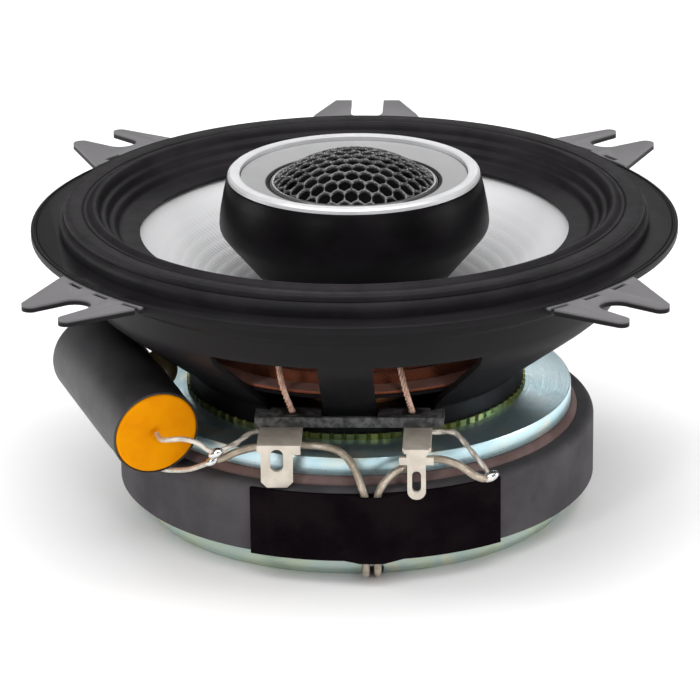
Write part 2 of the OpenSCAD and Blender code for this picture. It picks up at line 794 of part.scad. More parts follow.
module tweeter_wire_positive() {
    color([0.8, 0.76, 0.7]) tube(smooth(positive_wire_route, 1), wire_d);
}

module tweeter_wire_negative() {
    color([0.8, 0.76, 0.7]) tube(smooth(negative_wire_route, 1), wire_d);
}

basket();
seat_ring();
top_plate();
magnet();
yoke();
magnet_boot();
felt_patch();
gasket();
surround();
spider_ring();
spider();
cone();
voice_coil_former();
voice_coil_winding();
cone_lead_anchors();
tweeter_post();
post_bolt();
post_insert();
cup_screws();
tweeter_cup();
tweeter_trim_ring();
tweeter_faceplate();
tweeter_grille();
tweeter_yoke();
tweeter_magnet();
tweeter_pole_plate();
tweeter_chassis();
tweeter_surround();
tweeter_dome();
tweeter_coil_former();
tweeter_coil_winding();
tweeter_tags();
terminal_board();
terminal_positive();
terminal_negative();
terminal_eyelets();
tinsel_lead_left();
tinsel_lead_right();
capacitor_sleeve();
capacitor_winding();
capacitor_seals();
capacitor_lead_front();
capacitor_lead_rear();
capacitor_adhesive();
positive_link();
negative_link();
solder_joints();
tweeter_wire_positive();
tweeter_wire_negative();
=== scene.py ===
"""Looks of a four-inch coaxial car speaker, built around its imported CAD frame.

Lengths are millimetres, which the bench turns into metres. The studio's places and
distances are metres. +Z points at the listener and -Y is the terminal side.
"""

import json
import logging
import math
from collections.abc import Sequence
from dataclasses import dataclass
from enum import Enum
from typing import Protocol

import bpy
from mathutils import Matrix, Vector
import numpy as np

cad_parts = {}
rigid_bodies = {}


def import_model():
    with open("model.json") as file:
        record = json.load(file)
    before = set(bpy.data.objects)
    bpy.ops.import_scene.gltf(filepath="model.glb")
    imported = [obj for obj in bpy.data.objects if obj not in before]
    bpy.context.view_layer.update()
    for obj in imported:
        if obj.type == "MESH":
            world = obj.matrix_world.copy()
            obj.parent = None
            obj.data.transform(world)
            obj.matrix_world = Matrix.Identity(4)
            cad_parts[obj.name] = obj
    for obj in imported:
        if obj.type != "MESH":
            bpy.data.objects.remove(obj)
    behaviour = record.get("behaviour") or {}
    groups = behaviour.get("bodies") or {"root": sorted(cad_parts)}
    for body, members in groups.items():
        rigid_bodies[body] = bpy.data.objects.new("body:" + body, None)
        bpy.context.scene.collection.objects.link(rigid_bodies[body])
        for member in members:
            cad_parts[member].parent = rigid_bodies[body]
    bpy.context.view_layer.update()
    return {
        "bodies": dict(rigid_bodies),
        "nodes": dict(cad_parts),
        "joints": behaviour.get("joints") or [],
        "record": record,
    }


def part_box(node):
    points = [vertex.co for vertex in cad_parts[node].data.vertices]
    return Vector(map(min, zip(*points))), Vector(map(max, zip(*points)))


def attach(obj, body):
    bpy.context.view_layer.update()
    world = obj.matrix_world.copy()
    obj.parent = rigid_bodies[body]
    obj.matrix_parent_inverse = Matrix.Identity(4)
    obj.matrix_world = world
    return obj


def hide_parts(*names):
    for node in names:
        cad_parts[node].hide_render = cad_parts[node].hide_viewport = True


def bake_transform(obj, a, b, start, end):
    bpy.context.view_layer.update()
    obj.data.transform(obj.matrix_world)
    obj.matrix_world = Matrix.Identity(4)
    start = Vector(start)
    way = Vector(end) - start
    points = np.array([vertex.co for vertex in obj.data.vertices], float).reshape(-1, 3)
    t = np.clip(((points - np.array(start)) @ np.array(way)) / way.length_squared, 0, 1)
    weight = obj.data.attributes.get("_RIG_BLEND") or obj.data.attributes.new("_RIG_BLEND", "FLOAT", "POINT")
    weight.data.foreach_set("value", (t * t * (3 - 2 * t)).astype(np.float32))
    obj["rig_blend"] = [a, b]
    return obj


MM = 0.001
FRAME_BODY = "frame"
CONE_BODY = "cone_assembly"
DOME_BODY = "dome_assembly"

Colour = tuple[float, float, float]
Flat = tuple[float, float]
Spot = tuple[float, float, float]
Piece = bpy.types.Object

log = logging.getLogger("coaxial_speaker")


# ------------------------------------------------------------------ shader kit


class Wire:
    """A shader value that takes part in sums and products."""

    def __init__(self, shop: "Finisher", socket: bpy.types.NodeSocket) -> None:
        """Keeps the socket and the finisher that owns its node tree."""
        self.shop = shop
        self.socket = socket

    def _math(self, operation: str, *values: "Wire | float") -> "Wire":
        """Adds one Math node."""
        return self.shop.node("ShaderNodeMath", {"operation": operation}, dict(enumerate(values)))

    def __add__(self, other: "Wire | float") -> "Wire":
        """Sum."""
        return self._math("ADD", self, other)

    __radd__ = __add__

    def __sub__(self, other: "Wire | float") -> "Wire":
        """Difference."""
        return self._math("SUBTRACT", self, other)

    def __mul__(self, other: "Wire | float") -> "Wire":
        """Product."""
        return self._math("MULTIPLY", self, other)

    __rmul__ = __mul__

    def power(self, exponent: float) -> "Wire":
        """Raises the value to a power."""
        return self._math("POWER", self, exponent)

    def wave(self) -> "Wire":
        """Sine of the value."""
        return self._math("SINE", self)

    def size(self) -> "Wire":
        """Value without its sign."""
        return self._math("ABSOLUTE", self)

    def step(self, start: float, end: float) -> "Wire":
        """Soft step.

        Args:
            start: Value at which the step is 0.
            end: Value at which the step is 1; it may be the lower one.

        Returns:
            A value from 0 to 1.
        """
        return self.shop.node(
            "ShaderNodeMapRange",
            {"interpolation_type": "SMOOTHSTEP", "clamp": True},
            {"Value": self, "From Min": start, "From Max": end},
        )


class Finisher:
    """Builds one material's node tree round its Principled shader."""

    def __init__(self, name: str) -> None:
        """Starts an empty material with a Principled shader and its output."""
        self.material = bpy.data.materials.new(name)
        self.material.use_nodes = True
        self.tree = self.material.node_tree
        self.shader = self.tree.nodes["Principled BSDF"]

    def node(
        self,
        kind: str,
        settings: dict[str, object] | None = None,
        inputs: dict[str | int, object] | None = None,
        output: str | int = 0,
    ) -> Wire:
        """Adds a node.

        Args:
            kind: Type name of the node.
            settings: Properties, set before the sockets. "stops" fills a colour ramp.
            inputs: Sockets by name or number, each a value or a wire.
            output: Socket that the result reads.

        Returns:
            The chosen output as a wire.
        """
        made = self.tree.nodes.new(kind)
        for key, value in (settings or {}).items():
            if key == "stops":
                self._fill_ramp(made, value)
            else:
                setattr(made, key, value)
        for key, value in (inputs or {}).items():
            self.feed(made.inputs[key], value)
        return Wire(self, made.outputs[output])

    @staticmethod
    def _fill_ramp(made: bpy.types.Node, stops: Sequence[tuple[float, Colour]]) -> None:
        """Sets the stops of a colour ramp.

        Args:
            made: The ramp's node.
            stops: Place from 0 to 1 and colour of each stop.
        """
        band = made.color_ramp.elements
        while len(band) < len(stops):
            band.new(0.5)
        for element, (place, colour) in zip(band, stops):
            element.position = place
            element.color = (*colour, 1.0)

    def feed(self, socket: bpy.types.NodeSocket, value: object) -> None:
        """Links a wire to a socket, or sets a plain value on it.

        Args:
            socket: Input of a node.
            value: A wire, or a value of the socket's kind. A colour may leave out its alpha.
        """
        if isinstance(value, Wire):
            self.tree.links.new(value.socket, socket)
        elif isinstance(value, tuple) and len(value) == 3 and socket.type == "RGBA":
            socket.default_value = (*value, 1.0)
        else:
            socket.default_value = value

    def place(self) -> Wire:
        """Object coordinates in millimetres."""
        raw = self.node("ShaderNodeTexCoord", output="Object")
        return self.node("ShaderNodeMapping", {}, {"Vector": raw, "Scale": (1.0 / MM,) * 3})

    def axes(self) -> tuple[Wire, Wire, Wire]:
        """Splits the object coordinates.

        Returns:
            X, Y and Z in millimetres.
        """
        split = self.node("ShaderNodeSeparateXYZ", {}, {"Vector": self.place()})
        outputs = split.socket.node.outputs
        return tuple(Wire(self, outputs[i]) for i in range(3))

    def polar(self) -> tuple[Wire, Wire, Wire]:
        """Object coordinates about the speaker's axis.

        Returns:
            Radius in millimetres, angle about Z in radians, and height in millimetres.
        """
        x, y, z = self.axes()
        angle = self.node("ShaderNodeMath", {"operation": "ARCTAN2"}, {0: y, 1: x})
        return (x * x + y * y).power(0.5), angle, z

    def noise(self, pitch: float, detail: float = 3.0, where: Wire | None = None) -> Wire:
        """Soft noise.

        Args:
            pitch: Size of its patches in millimetres.
            detail: Octaves of finer noise.
            where: Coordinates in millimetres, the object's own by default.

        Returns:
            A value from 0 to 1.
        """
        inputs = {"Vector": where or self.place(), "Scale": 1.0 / pitch, "Detail": detail}
        return self.node("ShaderNodeTexNoise", {}, inputs)

    def cells(self, pitch: float) -> Wire:
        """Distance to the nearest point of a random set, for grains and pits."""
        inputs = {"Vector": self.place(), "Scale": 1.0 / pitch}
        return self.node("ShaderNodeTexVoronoi", {}, inputs)

    def blend(self, low: "Wire | Colour", high: "Wire | Colour", amount: Wire) -> Wire:
        """Mixes two colours by a value.

        Args:
            low: Colour at 0.
            high: Colour at 1.
            amount: Value from 0 to 1.

        Returns:
            The mixed colour.
        """
        made = self.tree.nodes.new("ShaderNodeMix")
        made.data_type = "RGBA"
        colours = [s for s in made.inputs if s.type == "RGBA"]
        self.feed(made.inputs[0], amount)
        self.feed(colours[0], low)
        self.feed(colours[1], high)
        return Wire(self, next(s for s in made.outputs if s.type == "RGBA"))

    def relief(self, height: Wire, depth: float) -> Wire:
        """Normal of a surface whose relief, from 0 to 1, stands up by depth millimetres."""
        return self.node("ShaderNodeBump", {}, {"Height": height, "Distance": depth * MM})

    def finish(self, **sockets: object) -> bpy.types.Material:
        """Sets sockets of the Principled shader.

        Args:
            sockets: Value or wire of each socket, with underscores for the name's spaces.

        Returns:
            The finished material.
        """
        for name, value in sockets.items():
            self.feed(self.shader.inputs[name.replace("_", " ")], value)
        return self.material


class Coating(Protocol):
    """Anything that makes one named material."""

    @property
    def name(self) -> str:
        """Name of the material."""

    def make(self) -> bpy.types.Material:
        """Builds the material."""


class Grain(Enum):
    """Fine texture of a plain finish."""

    SMOOTH = "smooth"
    PEEL = "peel"
    MOULD = "mould"
    PITTED = "pitted"
    TURNED = "turned"
    CLOTH = "cloth"


@dataclass(frozen=True)
class Finish:
    """A finish with two shades, uneven gloss and a fine grain.

    Attributes:
        name: Name of the material.
        shade: Main colour.
        patch: Colour of the patches.
        rough: Roughness in the glossy places.
        rougher: Roughness in the dull places.
        metal: Metallic share.
        grain: Kind of fine texture.
        pitch: Size of the grain.
        depth: Depth of the grain.
        patches: Size of the colour patches.
        coat: Weight of a clear coat.
        sheen: Weight of a cloth-like sheen.
        specular: Strength of the plain reflection.
    """

    name: str
    shade: Colour
    patch: Colour
    rough: float = 0.35
    rougher: float = 0.5
    metal: float = 0.0
    grain: Grain = Grain.SMOOTH
    pitch: float = 0.5
    depth: float = 0.02
    patches: float = 6.0
    coat: float = 0.0
    sheen: float = 0.0
    specular: float = 0.5

    def height(self, shop: Finisher) -> Wire:
        """Adds the nodes of the grain.

        Args:
            shop: Finisher of the material.

        Returns:
            Relief of the grain, from 0 to 1.
        """
        if self.grain is Grain.PEEL:
            return shop.noise(self.pitch, 1.0)
        if self.grain is Grain.MOULD:
            return shop.noise(self.pitch, 4.0) * 0.6 + shop.cells(self.pitch * 0.7) * 0.4
        if self.grain is Grain.PITTED:
            return shop.cells(self.pitch).step(0.1, 0.5) * shop.noise(self.pitch * 2.0, 4.0)
        if self.grain is Grain.TURNED:
            radius, _, z = shop.polar()
            lines = shop.node("ShaderNodeCombineXYZ", {}, {0: radius, 1: z})
            return shop.noise(self.pitch, 2.0, lines)
        if self.grain is Grain.CLOTH:
            x, y, z = shop.axes()
            turn = math.tau / self.pitch
            return ((x + z) * turn).wave() * ((y - z) * turn).wave() * 0.5 + 0.5
        return shop.noise(self.pitch * 3.0, 2.0)

    def make(self) -> bpy.types.Material:
        """Builds the material.

        Returns:
            The finished material.
        """
        shop = Finisher(self.name)
        cloud = shop.noise(self.patches, 4.0).step(0.35, 0.65)
        scuff = shop.noise(self.patches * 0.35, 5.0)
        height = self.height(shop)
        colour = shop.blend(self.shade, self.patch, cloud * 0.7 + height * 0.3)
        rough = self.rough + (self.rougher - self.rough) * scuff
        return shop.finish(
            Base_Color=colour,
            Roughness=rough,
            Metallic=self.metal,
            Coat_Weight=self.coat,
            Coat_Roughness=0.15,
            Sheen_Weight=self.sheen,
            Specular_IOR_Level=self.specular,
            Normal=shop.relief(height, self.depth),
        )


@dataclass(frozen=True)
class FlangePaint:
    """Satin black paint on the pressing, with painted shade in a groove inside the rim and a painted
    reflection on the tops of the tabs.

    Attributes:
        name: Name of the material.
        rim_r: Radius of the groove, whose colour is darkened as painted shade.
        tab_r: Radius outside which the tops of the tabs are painted lighter grey, a painted reflection, and
            made a little glossier.
    """

    name: str = "black_paint"
    rim_r: float = 49.75
    tab_r: float = 50.6

    def make(self) -> bpy.types.Material:
        """Builds the material.

        Returns:
            The finished material.
        """
        shop = Finisher(self.name)
        radius, _, z = shop.polar()
        peel = shop.noise(0.35, 2.0)
        cloud = shop.noise(7.0, 4.0)
        level = z.step(0.5, 0.9)
        groove = (radius - self.rim_r).size().step(0.28, 0.0) * level
        tab = radius.step(self.tab_r, self.tab_r + 0.4) * level
        black = shop.blend((0.003, 0.0025, 0.003), (0.009, 0.0075, 0.009), cloud)
        # Painted reflection: past tab_r the tops of the tabs are painted light grey, standing in for the
        # bright room reflected in them.
        tabs_with_painted_reflection = shop.blend(black, (0.15, 0.145, 0.15), tab)
        # Painted shade: the groove's colour is darkened to near black.
        colour = shop.blend(tabs_with_painted_reflection, (0.004, 0.004, 0.004), groove)
        height = peel * 0.12 - groove
        return shop.finish(
            Base_Color=colour,
            Roughness=0.42 + cloud * 0.12 - tab * 0.06,
            Specular_IOR_Level=0.14,
            Normal=shop.relief(height, 0.12),
        )


@dataclass(frozen=True)
class HornLacquer:
    """Silver lacquer on the tweeter's face, black in the recess round the mesh.

    Attributes:
        name: Name of the material.
        recess_r: Outer radius of the recess.
    """

    name: str = "silver_lacquer"
    recess_r: float = 13.7

    def make(self) -> bpy.types.Material:
        """Builds the material.

        Returns:
            The finished material.
        """
        shop = Finisher(self.name)
        radius, _, _ = shop.polar()
        grain = shop.noise(0.15, 2.0)
        cloud = shop.noise(4.0, 3.0)
        silver = shop.blend((0.31, 0.31, 0.315), (0.4, 0.4, 0.405), cloud * 0.5 + grain * 0.5)
        open_face = radius.step(self.recess_r, self.recess_r + 0.25)
        return shop.finish(
            Base_Color=shop.blend((0.002, 0.002, 0.002), silver, open_face),
            Roughness=0.5 + grain * 0.12,
            Metallic=open_face * 0.2,
            Specular_IOR_Level=0.2,
            Normal=shop.relief(grain, 0.02),
        )


@dataclass(frozen=True)
class ConeWeave:
    """Light grey woven cone pressed with rows of small dimples.

    Attributes:
        name: Name of the material.
        rows: Pitch of the rows along the radius.
        columns: Dimples round one row.
        neck_r: Radius at which the dimples are deepest.
        edge_r: Radius at which they have faded out.
    """

    name: str = "cone_weave"
    rows: float = 3.4
    columns: int = 98
    neck_r: float = 20.0
    edge_r: float = 34.0

    def make(self) -> bpy.types.Material:
        """Builds the material.

        Returns:
            The finished material.
        """
        shop = Finisher(self.name)
        radius, angle, _ = shop.polar()
        ring = radius * (math.tau / self.rows)
        spoke = angle * float(self.columns)
        near = radius.step(self.edge_r, self.neck_r)
        bumps = (ring.wave() * spoke.wave()).size() * near
        fibre = shop.noise(0.25, 3.0)
        cloud = shop.noise(9.0, 3.0)
        colour = shop.blend((0.66, 0.66, 0.67), (0.46, 0.46, 0.47), bumps * 0.6 + cloud * 0.25)
        height = bumps * 0.9 + fibre * 0.1
        return shop.finish(
            Base_Color=colour,
            Roughness=0.5 + bumps * 0.14,
            Metallic=0.1,
            Specular_IOR_Level=0.3,
            Normal=shop.relief(height, 0.12),
        )


@dataclass(frozen=True)
class ZincPlate:
    """Bright zinc with the faint rainbow of its passivation.

    Attributes:
        name: Name of the material.
        stops: Colours that the passivation runs through.
        rough: Least roughness.
        drift: Size of the drifting colour bands.
        metal: Metallic share.
    """

    name: str
    stops: tuple[tuple[float, Colour], ...]
    rough: float = 0.2
    drift: float = 12.0
    metal: float = 0.9

    def make(self) -> bpy.types.Material:
        """Builds the material.

        Returns:
            The finished material.
        """
        shop = Finisher(self.name)
        radius, _, z = shop.polar()
        lines = shop.node("ShaderNodeCombineXYZ", {}, {0: radius, 1: z})
        turned = shop.noise(0.22, 3.0, lines)
        drift = shop.noise(self.drift, 3.0)
        spangle = shop.cells(0.5)
        mark = (drift - 0.5) * 2.2 + 0.5 + (turned - 0.5) * 0.5
        colour = shop.node("ShaderNodeValToRGB", {"stops": self.stops}, {"Fac": mark})
        return shop.finish(
            Base_Color=colour,
            Roughness=self.rough + turned * 0.2 + spangle * 0.12,
            Metallic=self.metal,
            Normal=shop.relief(turned * 0.7 + spangle * 0.3, 0.015),
        )


@dataclass(frozen=True)
class ClearSheath:
    """Clear insulation, a little amber, seen over its strands."""

    name: str = "clear_insulation"

    def make(self) -> bpy.types.Material:
        """Builds the material.

        Returns:
            The finished material.
        """
        shop = Finisher(self.name)
        cloud = shop.noise(2.5, 3.0)
        colour = shop.blend((0.95, 0.9, 0.82), (0.85, 0.74, 0.6), cloud)
        return shop.finish(
            Base_Color=colour,
            Roughness=0.08 + cloud * 0.1,
            IOR=1.45,
            Transmission_Weight=0.92,
            Normal=shop.relief(shop.noise(0.8, 2.0), 0.02),
        )


@dataclass(frozen=True)
class StageFloor:
    """Pale floor that can be seen through from below."""

    name: str = "stage_floor"
    shade: float = 0.92

    def make(self) -> bpy.types.Material:
        """Builds the material.

        Returns:
            The finished material.
        """
        shop = Finisher(self.name)
        shop.finish(Base_Color=(self.shade,) * 3, Roughness=0.85, Specular_IOR_Level=0.1)
        under = shop.node("ShaderNodeNewGeometry", output="Backfacing")
        gone = shop.node("ShaderNodeBsdfTransparent")
        solid = Wire(shop, shop.shader.outputs[0])
        mixed = shop.node("ShaderNodeMixShader", {}, {0: under, 1: solid, 2: gone})
        shop.feed(shop.tree.nodes["Material Output"].inputs["Surface"], mixed)
        return shop.material


class Paintbox:
    """Makes each finish once and dresses pieces and CAD nodes in it."""

    def __init__(self, frame: dict) -> None:
        """Keeps the frame's nodes."""
        self.nodes = frame["nodes"]
        self.made: dict[str, bpy.types.Material] = {}

    def material(self, finish: Coating) -> bpy.types.Material:
        """Returns the material of a finish, made on its first use."""
        if finish.name not in self.made:
            self.made[finish.name] = finish.make()
        return self.made[finish.name]

    def dress(self, piece: Piece, finish: Coating) -> None:
        """Gives a piece one material."""
        piece.data.materials.clear()
        piece.data.materials.append(self.material(finish))

    def dress_node(self, node: str, finish: Coating) -> None:
        """Gives a CAD node one material through its object's slots."""
        for slot in self.nodes[node].material_slots:
            slot.material = self.material(finish)


# -------------------------------------------------------------------- finishes

SATIN_BLACK = FlangePaint()
INNER_BLACK = Finish("inner_black", (0.005, 0.004, 0.005), (0.012, 0.01, 0.012), 0.4, 0.55,
                     grain=Grain.PEEL, pitch=0.5, specular=0.15)
RUBBER = Finish("surround_rubber", (0.007, 0.006, 0.007), (0.014, 0.012, 0.014), 0.42, 0.6,
                grain=Grain.MOULD, pitch=0.3, depth=0.03, specular=0.12)
BOOT = Finish("boot_rubber", (0.05, 0.047, 0.05), (0.085, 0.08, 0.085), 0.6, 0.85,
              grain=Grain.MOULD, pitch=0.5, depth=0.05, patches=9.0, specular=0.1)
FELT = Finish("felt", (0.003, 0.002, 0.003), (0.009, 0.006, 0.007), 0.9, 1.0,
              grain=Grain.PITTED, pitch=0.22, depth=0.1, specular=0.02)
PLASTIC = Finish("black_plastic", (0.002, 0.0016, 0.002), (0.005, 0.004, 0.005), 0.34, 0.44,
                 grain=Grain.MOULD, pitch=0.25, depth=0.03, specular=0.07)
CONE = ConeWeave()
SPIDER = Finish("spider_cloth", (0.2, 0.04, 0.012), (0.34, 0.09, 0.03), 0.7, 0.85,
                grain=Grain.CLOTH, pitch=0.5, depth=0.08, sheen=0.3)
FORMER = Finish("coil_former", (0.42, 0.2, 0.05), (0.5, 0.28, 0.1), 0.25, 0.4, coat=0.3)
COPPER = Finish("copper_winding", (0.6, 0.25, 0.1), (0.75, 0.36, 0.18), 0.25, 0.4, metal=0.9,
                grain=Grain.TURNED, pitch=0.15, depth=0.06)
CEMENT = Finish("black_cement", (0.012, 0.012, 0.012), (0.03, 0.03, 0.03), 0.25, 0.5,
                grain=Grain.PITTED, pitch=0.8, depth=0.1)
CHROMATE = ZincPlate("chromate_zinc", ((0.0, (0.1, 0.13, 0.03)), (0.35, (0.22, 0.23, 0.06)),
                                       (0.65, (0.14, 0.19, 0.08)), (1.0, (0.28, 0.25, 0.09))))
BACK_ZINC = ZincPlate("back_zinc", ((0.0, (0.34, 0.46, 0.4)), (0.4, (0.56, 0.64, 0.5)),
                                    (0.7, (0.48, 0.6, 0.58)), (1.0, (0.7, 0.68, 0.5))), 0.24, 9.0)
BLUE_ZINC = ZincPlate("blue_zinc", ((0.0, (0.4, 0.62, 0.7)), (0.3, (0.66, 0.8, 0.84)),
                                    (0.6, (0.5, 0.72, 0.78)), (1.0, (0.8, 0.76, 0.6))), 0.18, 14.0)
FERRITE = Finish("ferrite", (0.1, 0.055, 0.05), (0.19, 0.12, 0.11), 0.5, 0.75,
                 grain=Grain.PITTED, pitch=0.6, depth=0.05, patches=5.0)
STEEL = Finish("plated_steel", (0.5, 0.5, 0.48), (0.66, 0.65, 0.6), 0.22, 0.38, metal=1.0,
               grain=Grain.TURNED, pitch=0.2)
BRASS = Finish("turned_brass", (0.55, 0.38, 0.13), (0.68, 0.5, 0.2), 0.2, 0.35, metal=1.0,
               grain=Grain.TURNED, pitch=0.2)
BRIGHT = Finish("bright_trim", (0.56, 0.56, 0.57), (0.64, 0.64, 0.65), 0.3, 0.4, metal=0.35,
                grain=Grain.TURNED, pitch=0.12, depth=0.006)
SILVER = HornLacquer()
MESH_BLACK = Finish("grille_black", (0.045, 0.044, 0.045), (0.08, 0.078, 0.08), 0.16, 0.28,
                    grain=Grain.PEEL, pitch=0.4, depth=0.015, coat=0.6)
SILK = Finish("silk", (0.002, 0.002, 0.002), (0.005, 0.005, 0.006), 0.7, 0.85,
              grain=Grain.CLOTH, pitch=0.35, depth=0.03, specular=0.03)
FIBRE = Finish("board_fibre", (0.015, 0.015, 0.015), (0.15, 0.148, 0.15), 0.6, 0.8,
               grain=Grain.PITTED, pitch=0.45, depth=0.08, patches=1.2)
TIN = Finish("dull_tin", (0.56, 0.5, 0.42), (0.7, 0.64, 0.55), 0.4, 0.55, metal=0.25,
             grain=Grain.PEEL, pitch=0.7, depth=0.03, patches=2.5)
TINSEL = Finish("tinsel_braid", (0.6, 0.3, 0.2), (0.82, 0.6, 0.48), 0.35, 0.5, metal=0.45,
                grain=Grain.CLOTH, pitch=0.22, depth=0.04, patches=0.8)
SLEEVE = Finish("sleeve_pvc", (0.02, 0.018, 0.02), (0.04, 0.037, 0.04), 0.4, 0.55,
                grain=Grain.PEEL, pitch=2.2, depth=0.05, patches=8.0)
RESIN = Finish("amber_resin", (0.76, 0.25, 0.0), (0.84, 0.31, 0.0), 0.5, 0.65,
               grain=Grain.PEEL, pitch=2.5, depth=0.06, patches=4.0, specular=0.04)
FILM = Finish("wound_film", (0.5, 0.5, 0.52), (0.7, 0.7, 0.72), 0.2, 0.35, metal=0.6,
              grain=Grain.TURNED, pitch=0.2)
LEAD = Finish("tinned_lead", (0.5, 0.44, 0.37), (0.78, 0.72, 0.64), 0.3, 0.45, metal=0.4,
              grain=Grain.PEEL, pitch=0.5, depth=0.02, patches=1.5)
SOLDER = Finish("solder", (0.62, 0.61, 0.6), (0.85, 0.84, 0.82), 0.16, 0.34, metal=0.95,
                grain=Grain.PEEL, pitch=0.6, depth=0.06, patches=0.9)
GLUE = Finish("amber_cement", (0.05, 0.035, 0.015), (0.12, 0.09, 0.04), 0.2, 0.4,
              grain=Grain.PEEL, pitch=1.2, depth=0.1, coat=0.5)
SHEATH = ClearSheath()


# ----------------------------------------------------------------------- bench


class Bench:
    """Modelling operators. Each starts with nothing else selected."""

    @staticmethod
    def clear() -> None:
        """Leaves edit mode and deselects everything."""
        if bpy.context.mode != "OBJECT":
            bpy.ops.object.mode_set(mode="OBJECT")
        bpy.ops.object.select_all(action="DESELECT")

    @classmethod
    def take(cls, piece: Piece) -> None:
        """Selects one piece and makes it active."""
        cls.clear()
        piece.select_set(True)
        bpy.context.view_layer.objects.active = piece

    @classmethod
    def edit(cls, piece: Piece) -> None:
        """Opens one piece in edit mode with all of it selected."""
        cls.take(piece)
        bpy.ops.object.mode_set(mode="EDIT")
        bpy.ops.mesh.select_mode(type="VERT")
        bpy.ops.mesh.select_all(action="SELECT")

    @classmethod
    def named(cls, name: str) -> Piece:
        """Names the active object and its data.

        Args:
            name: Name of both.

        Returns:
            The active object.
        """
        piece = bpy.context.object
        piece.name = name
        piece.data.name = name
        return piece

    @classmethod
    def line(cls, name: str, points: Sequence[Vector]) -> Piece:
        """Draws a line of vertices by extruding one along the points.

        Args:
            name: Name of the piece.
            points: Points of the line in metres.

        Returns:
            The line, open in edit mode.
        """
        cls.clear()
        bpy.ops.mesh.primitive_plane_add(size=MM, location=points[0])
        piece = cls.named(name)
        bpy.ops.object.transform_apply(location=True, rotation=False, scale=False)
        cls.edit(piece)
        bpy.ops.mesh.merge(type="CENTER")
        for start, end in zip(points, points[1:]):
            bpy.ops.mesh.extrude_region_move(TRANSFORM_OT_translate={"value": end - start})
        return piece

    @classmethod
    def lathe(cls, name: str, outline: Sequence[Flat], steps: int = 160) -> Piece:
        """Turns an outline about Z.

        Args:
            name: Name of the piece.
            outline: Radius and height of each point. A closed one repeats its first point.
            steps: Faces round the piece.

        Returns:
            The turned piece, with its faces pointing outwards or upwards.
        """
        piece = cls.line(name, [Vector((r, 0.0, z)) * MM for r, z in outline])
        bpy.ops.mesh.select_all(action="SELECT")
        bpy.ops.mesh.spin(steps=steps, angle=math.tau, center=(0, 0, 0), axis=(0, 0, 1))
        cls.merge()
        bpy.ops.object.mode_set(mode="OBJECT")
        if outline[0] != outline[-1]:
            cls.face_up(piece)
        return piece

    @classmethod
    def merge(cls, reach: float = 0.002) -> None:
        """Merges doubles within reach and points the faces outwards, in edit mode."""
        bpy.ops.mesh.select_all(action="SELECT")
        bpy.ops.mesh.remove_doubles(threshold=reach * MM)
        bpy.ops.mesh.normals_make_consistent(inside=False)

    @classmethod
    def face_up(cls, piece: Piece) -> None:
        """Turns an open sheet over if it faces down."""
        if sum(p.normal.z * p.area for p in piece.data.polygons) < 0:
            cls.edit(piece)
            bpy.ops.mesh.flip_normals()
            bpy.ops.object.mode_set(mode="OBJECT")

    @classmethod
    def apply(cls, piece: Piece, kind: str, **settings: object) -> None:
        """Adds a modifier, sets it up and applies it.

        Args:
            piece: Piece to change.
            kind: Type name of the modifier.
            settings: Properties of the modifier.
        """
        cls.take(piece)
        modifier = piece.modifiers.new(kind.title(), kind)
        for key, value in settings.items():
            setattr(modifier, key, value)
        bpy.ops.object.modifier_apply(modifier=modifier.name)

    @classmethod
    def sheet(cls, piece: Piece, thickness: float, side: float = -1.0) -> None:
        """Gives a sheet its thickness, below its faces for side -1."""
        cls.apply(piece, "SOLIDIFY", thickness=thickness * MM, offset=side, use_even_offset=True)

    @classmethod
    def bevel(cls, piece: Piece, width: float) -> None:
        """Rounds the edges that are sharper than 35 degrees."""
        cls.apply(piece, "BEVEL", width=width * MM, segments=2, limit_method="ANGLE",
                  angle_limit=math.radians(35.0))

    @classmethod
    def smooth(cls, piece: Piece, angle: float = 38.0) -> Piece:
        """Shades the piece smooth across edges flatter than the angle."""
        cls.take(piece)
        bpy.ops.object.shade_smooth_by_angle(angle=math.radians(angle))
        return piece

    @classmethod
    def copy_node(cls, frame: dict, node: str, name: str, width: float) -> Piece:
        """Copies a CAD node and rounds its edges.

        Args:
            frame: The loaded frame.
            node: CAD node to copy.
            name: Name of the new piece.
            width: Width of the rounding.

        Returns:
            The new piece.
        """
        piece = bpy.data.objects.new(name, frame["nodes"][node].data.copy())
        bpy.context.scene.collection.objects.link(piece)
        cls.take(piece)
        if piece.data.has_custom_normals:
            bpy.ops.mesh.customdata_custom_splitnormals_clear()
        cls.edit(piece)
        bpy.ops.mesh.remove_doubles(threshold=0.001 * MM)
        bpy.ops.mesh.dissolve_limited(angle_limit=math.radians(0.6))
        bpy.ops.object.mode_set(mode="OBJECT")
        cls.bevel(piece, width)
        return cls.smooth(piece)

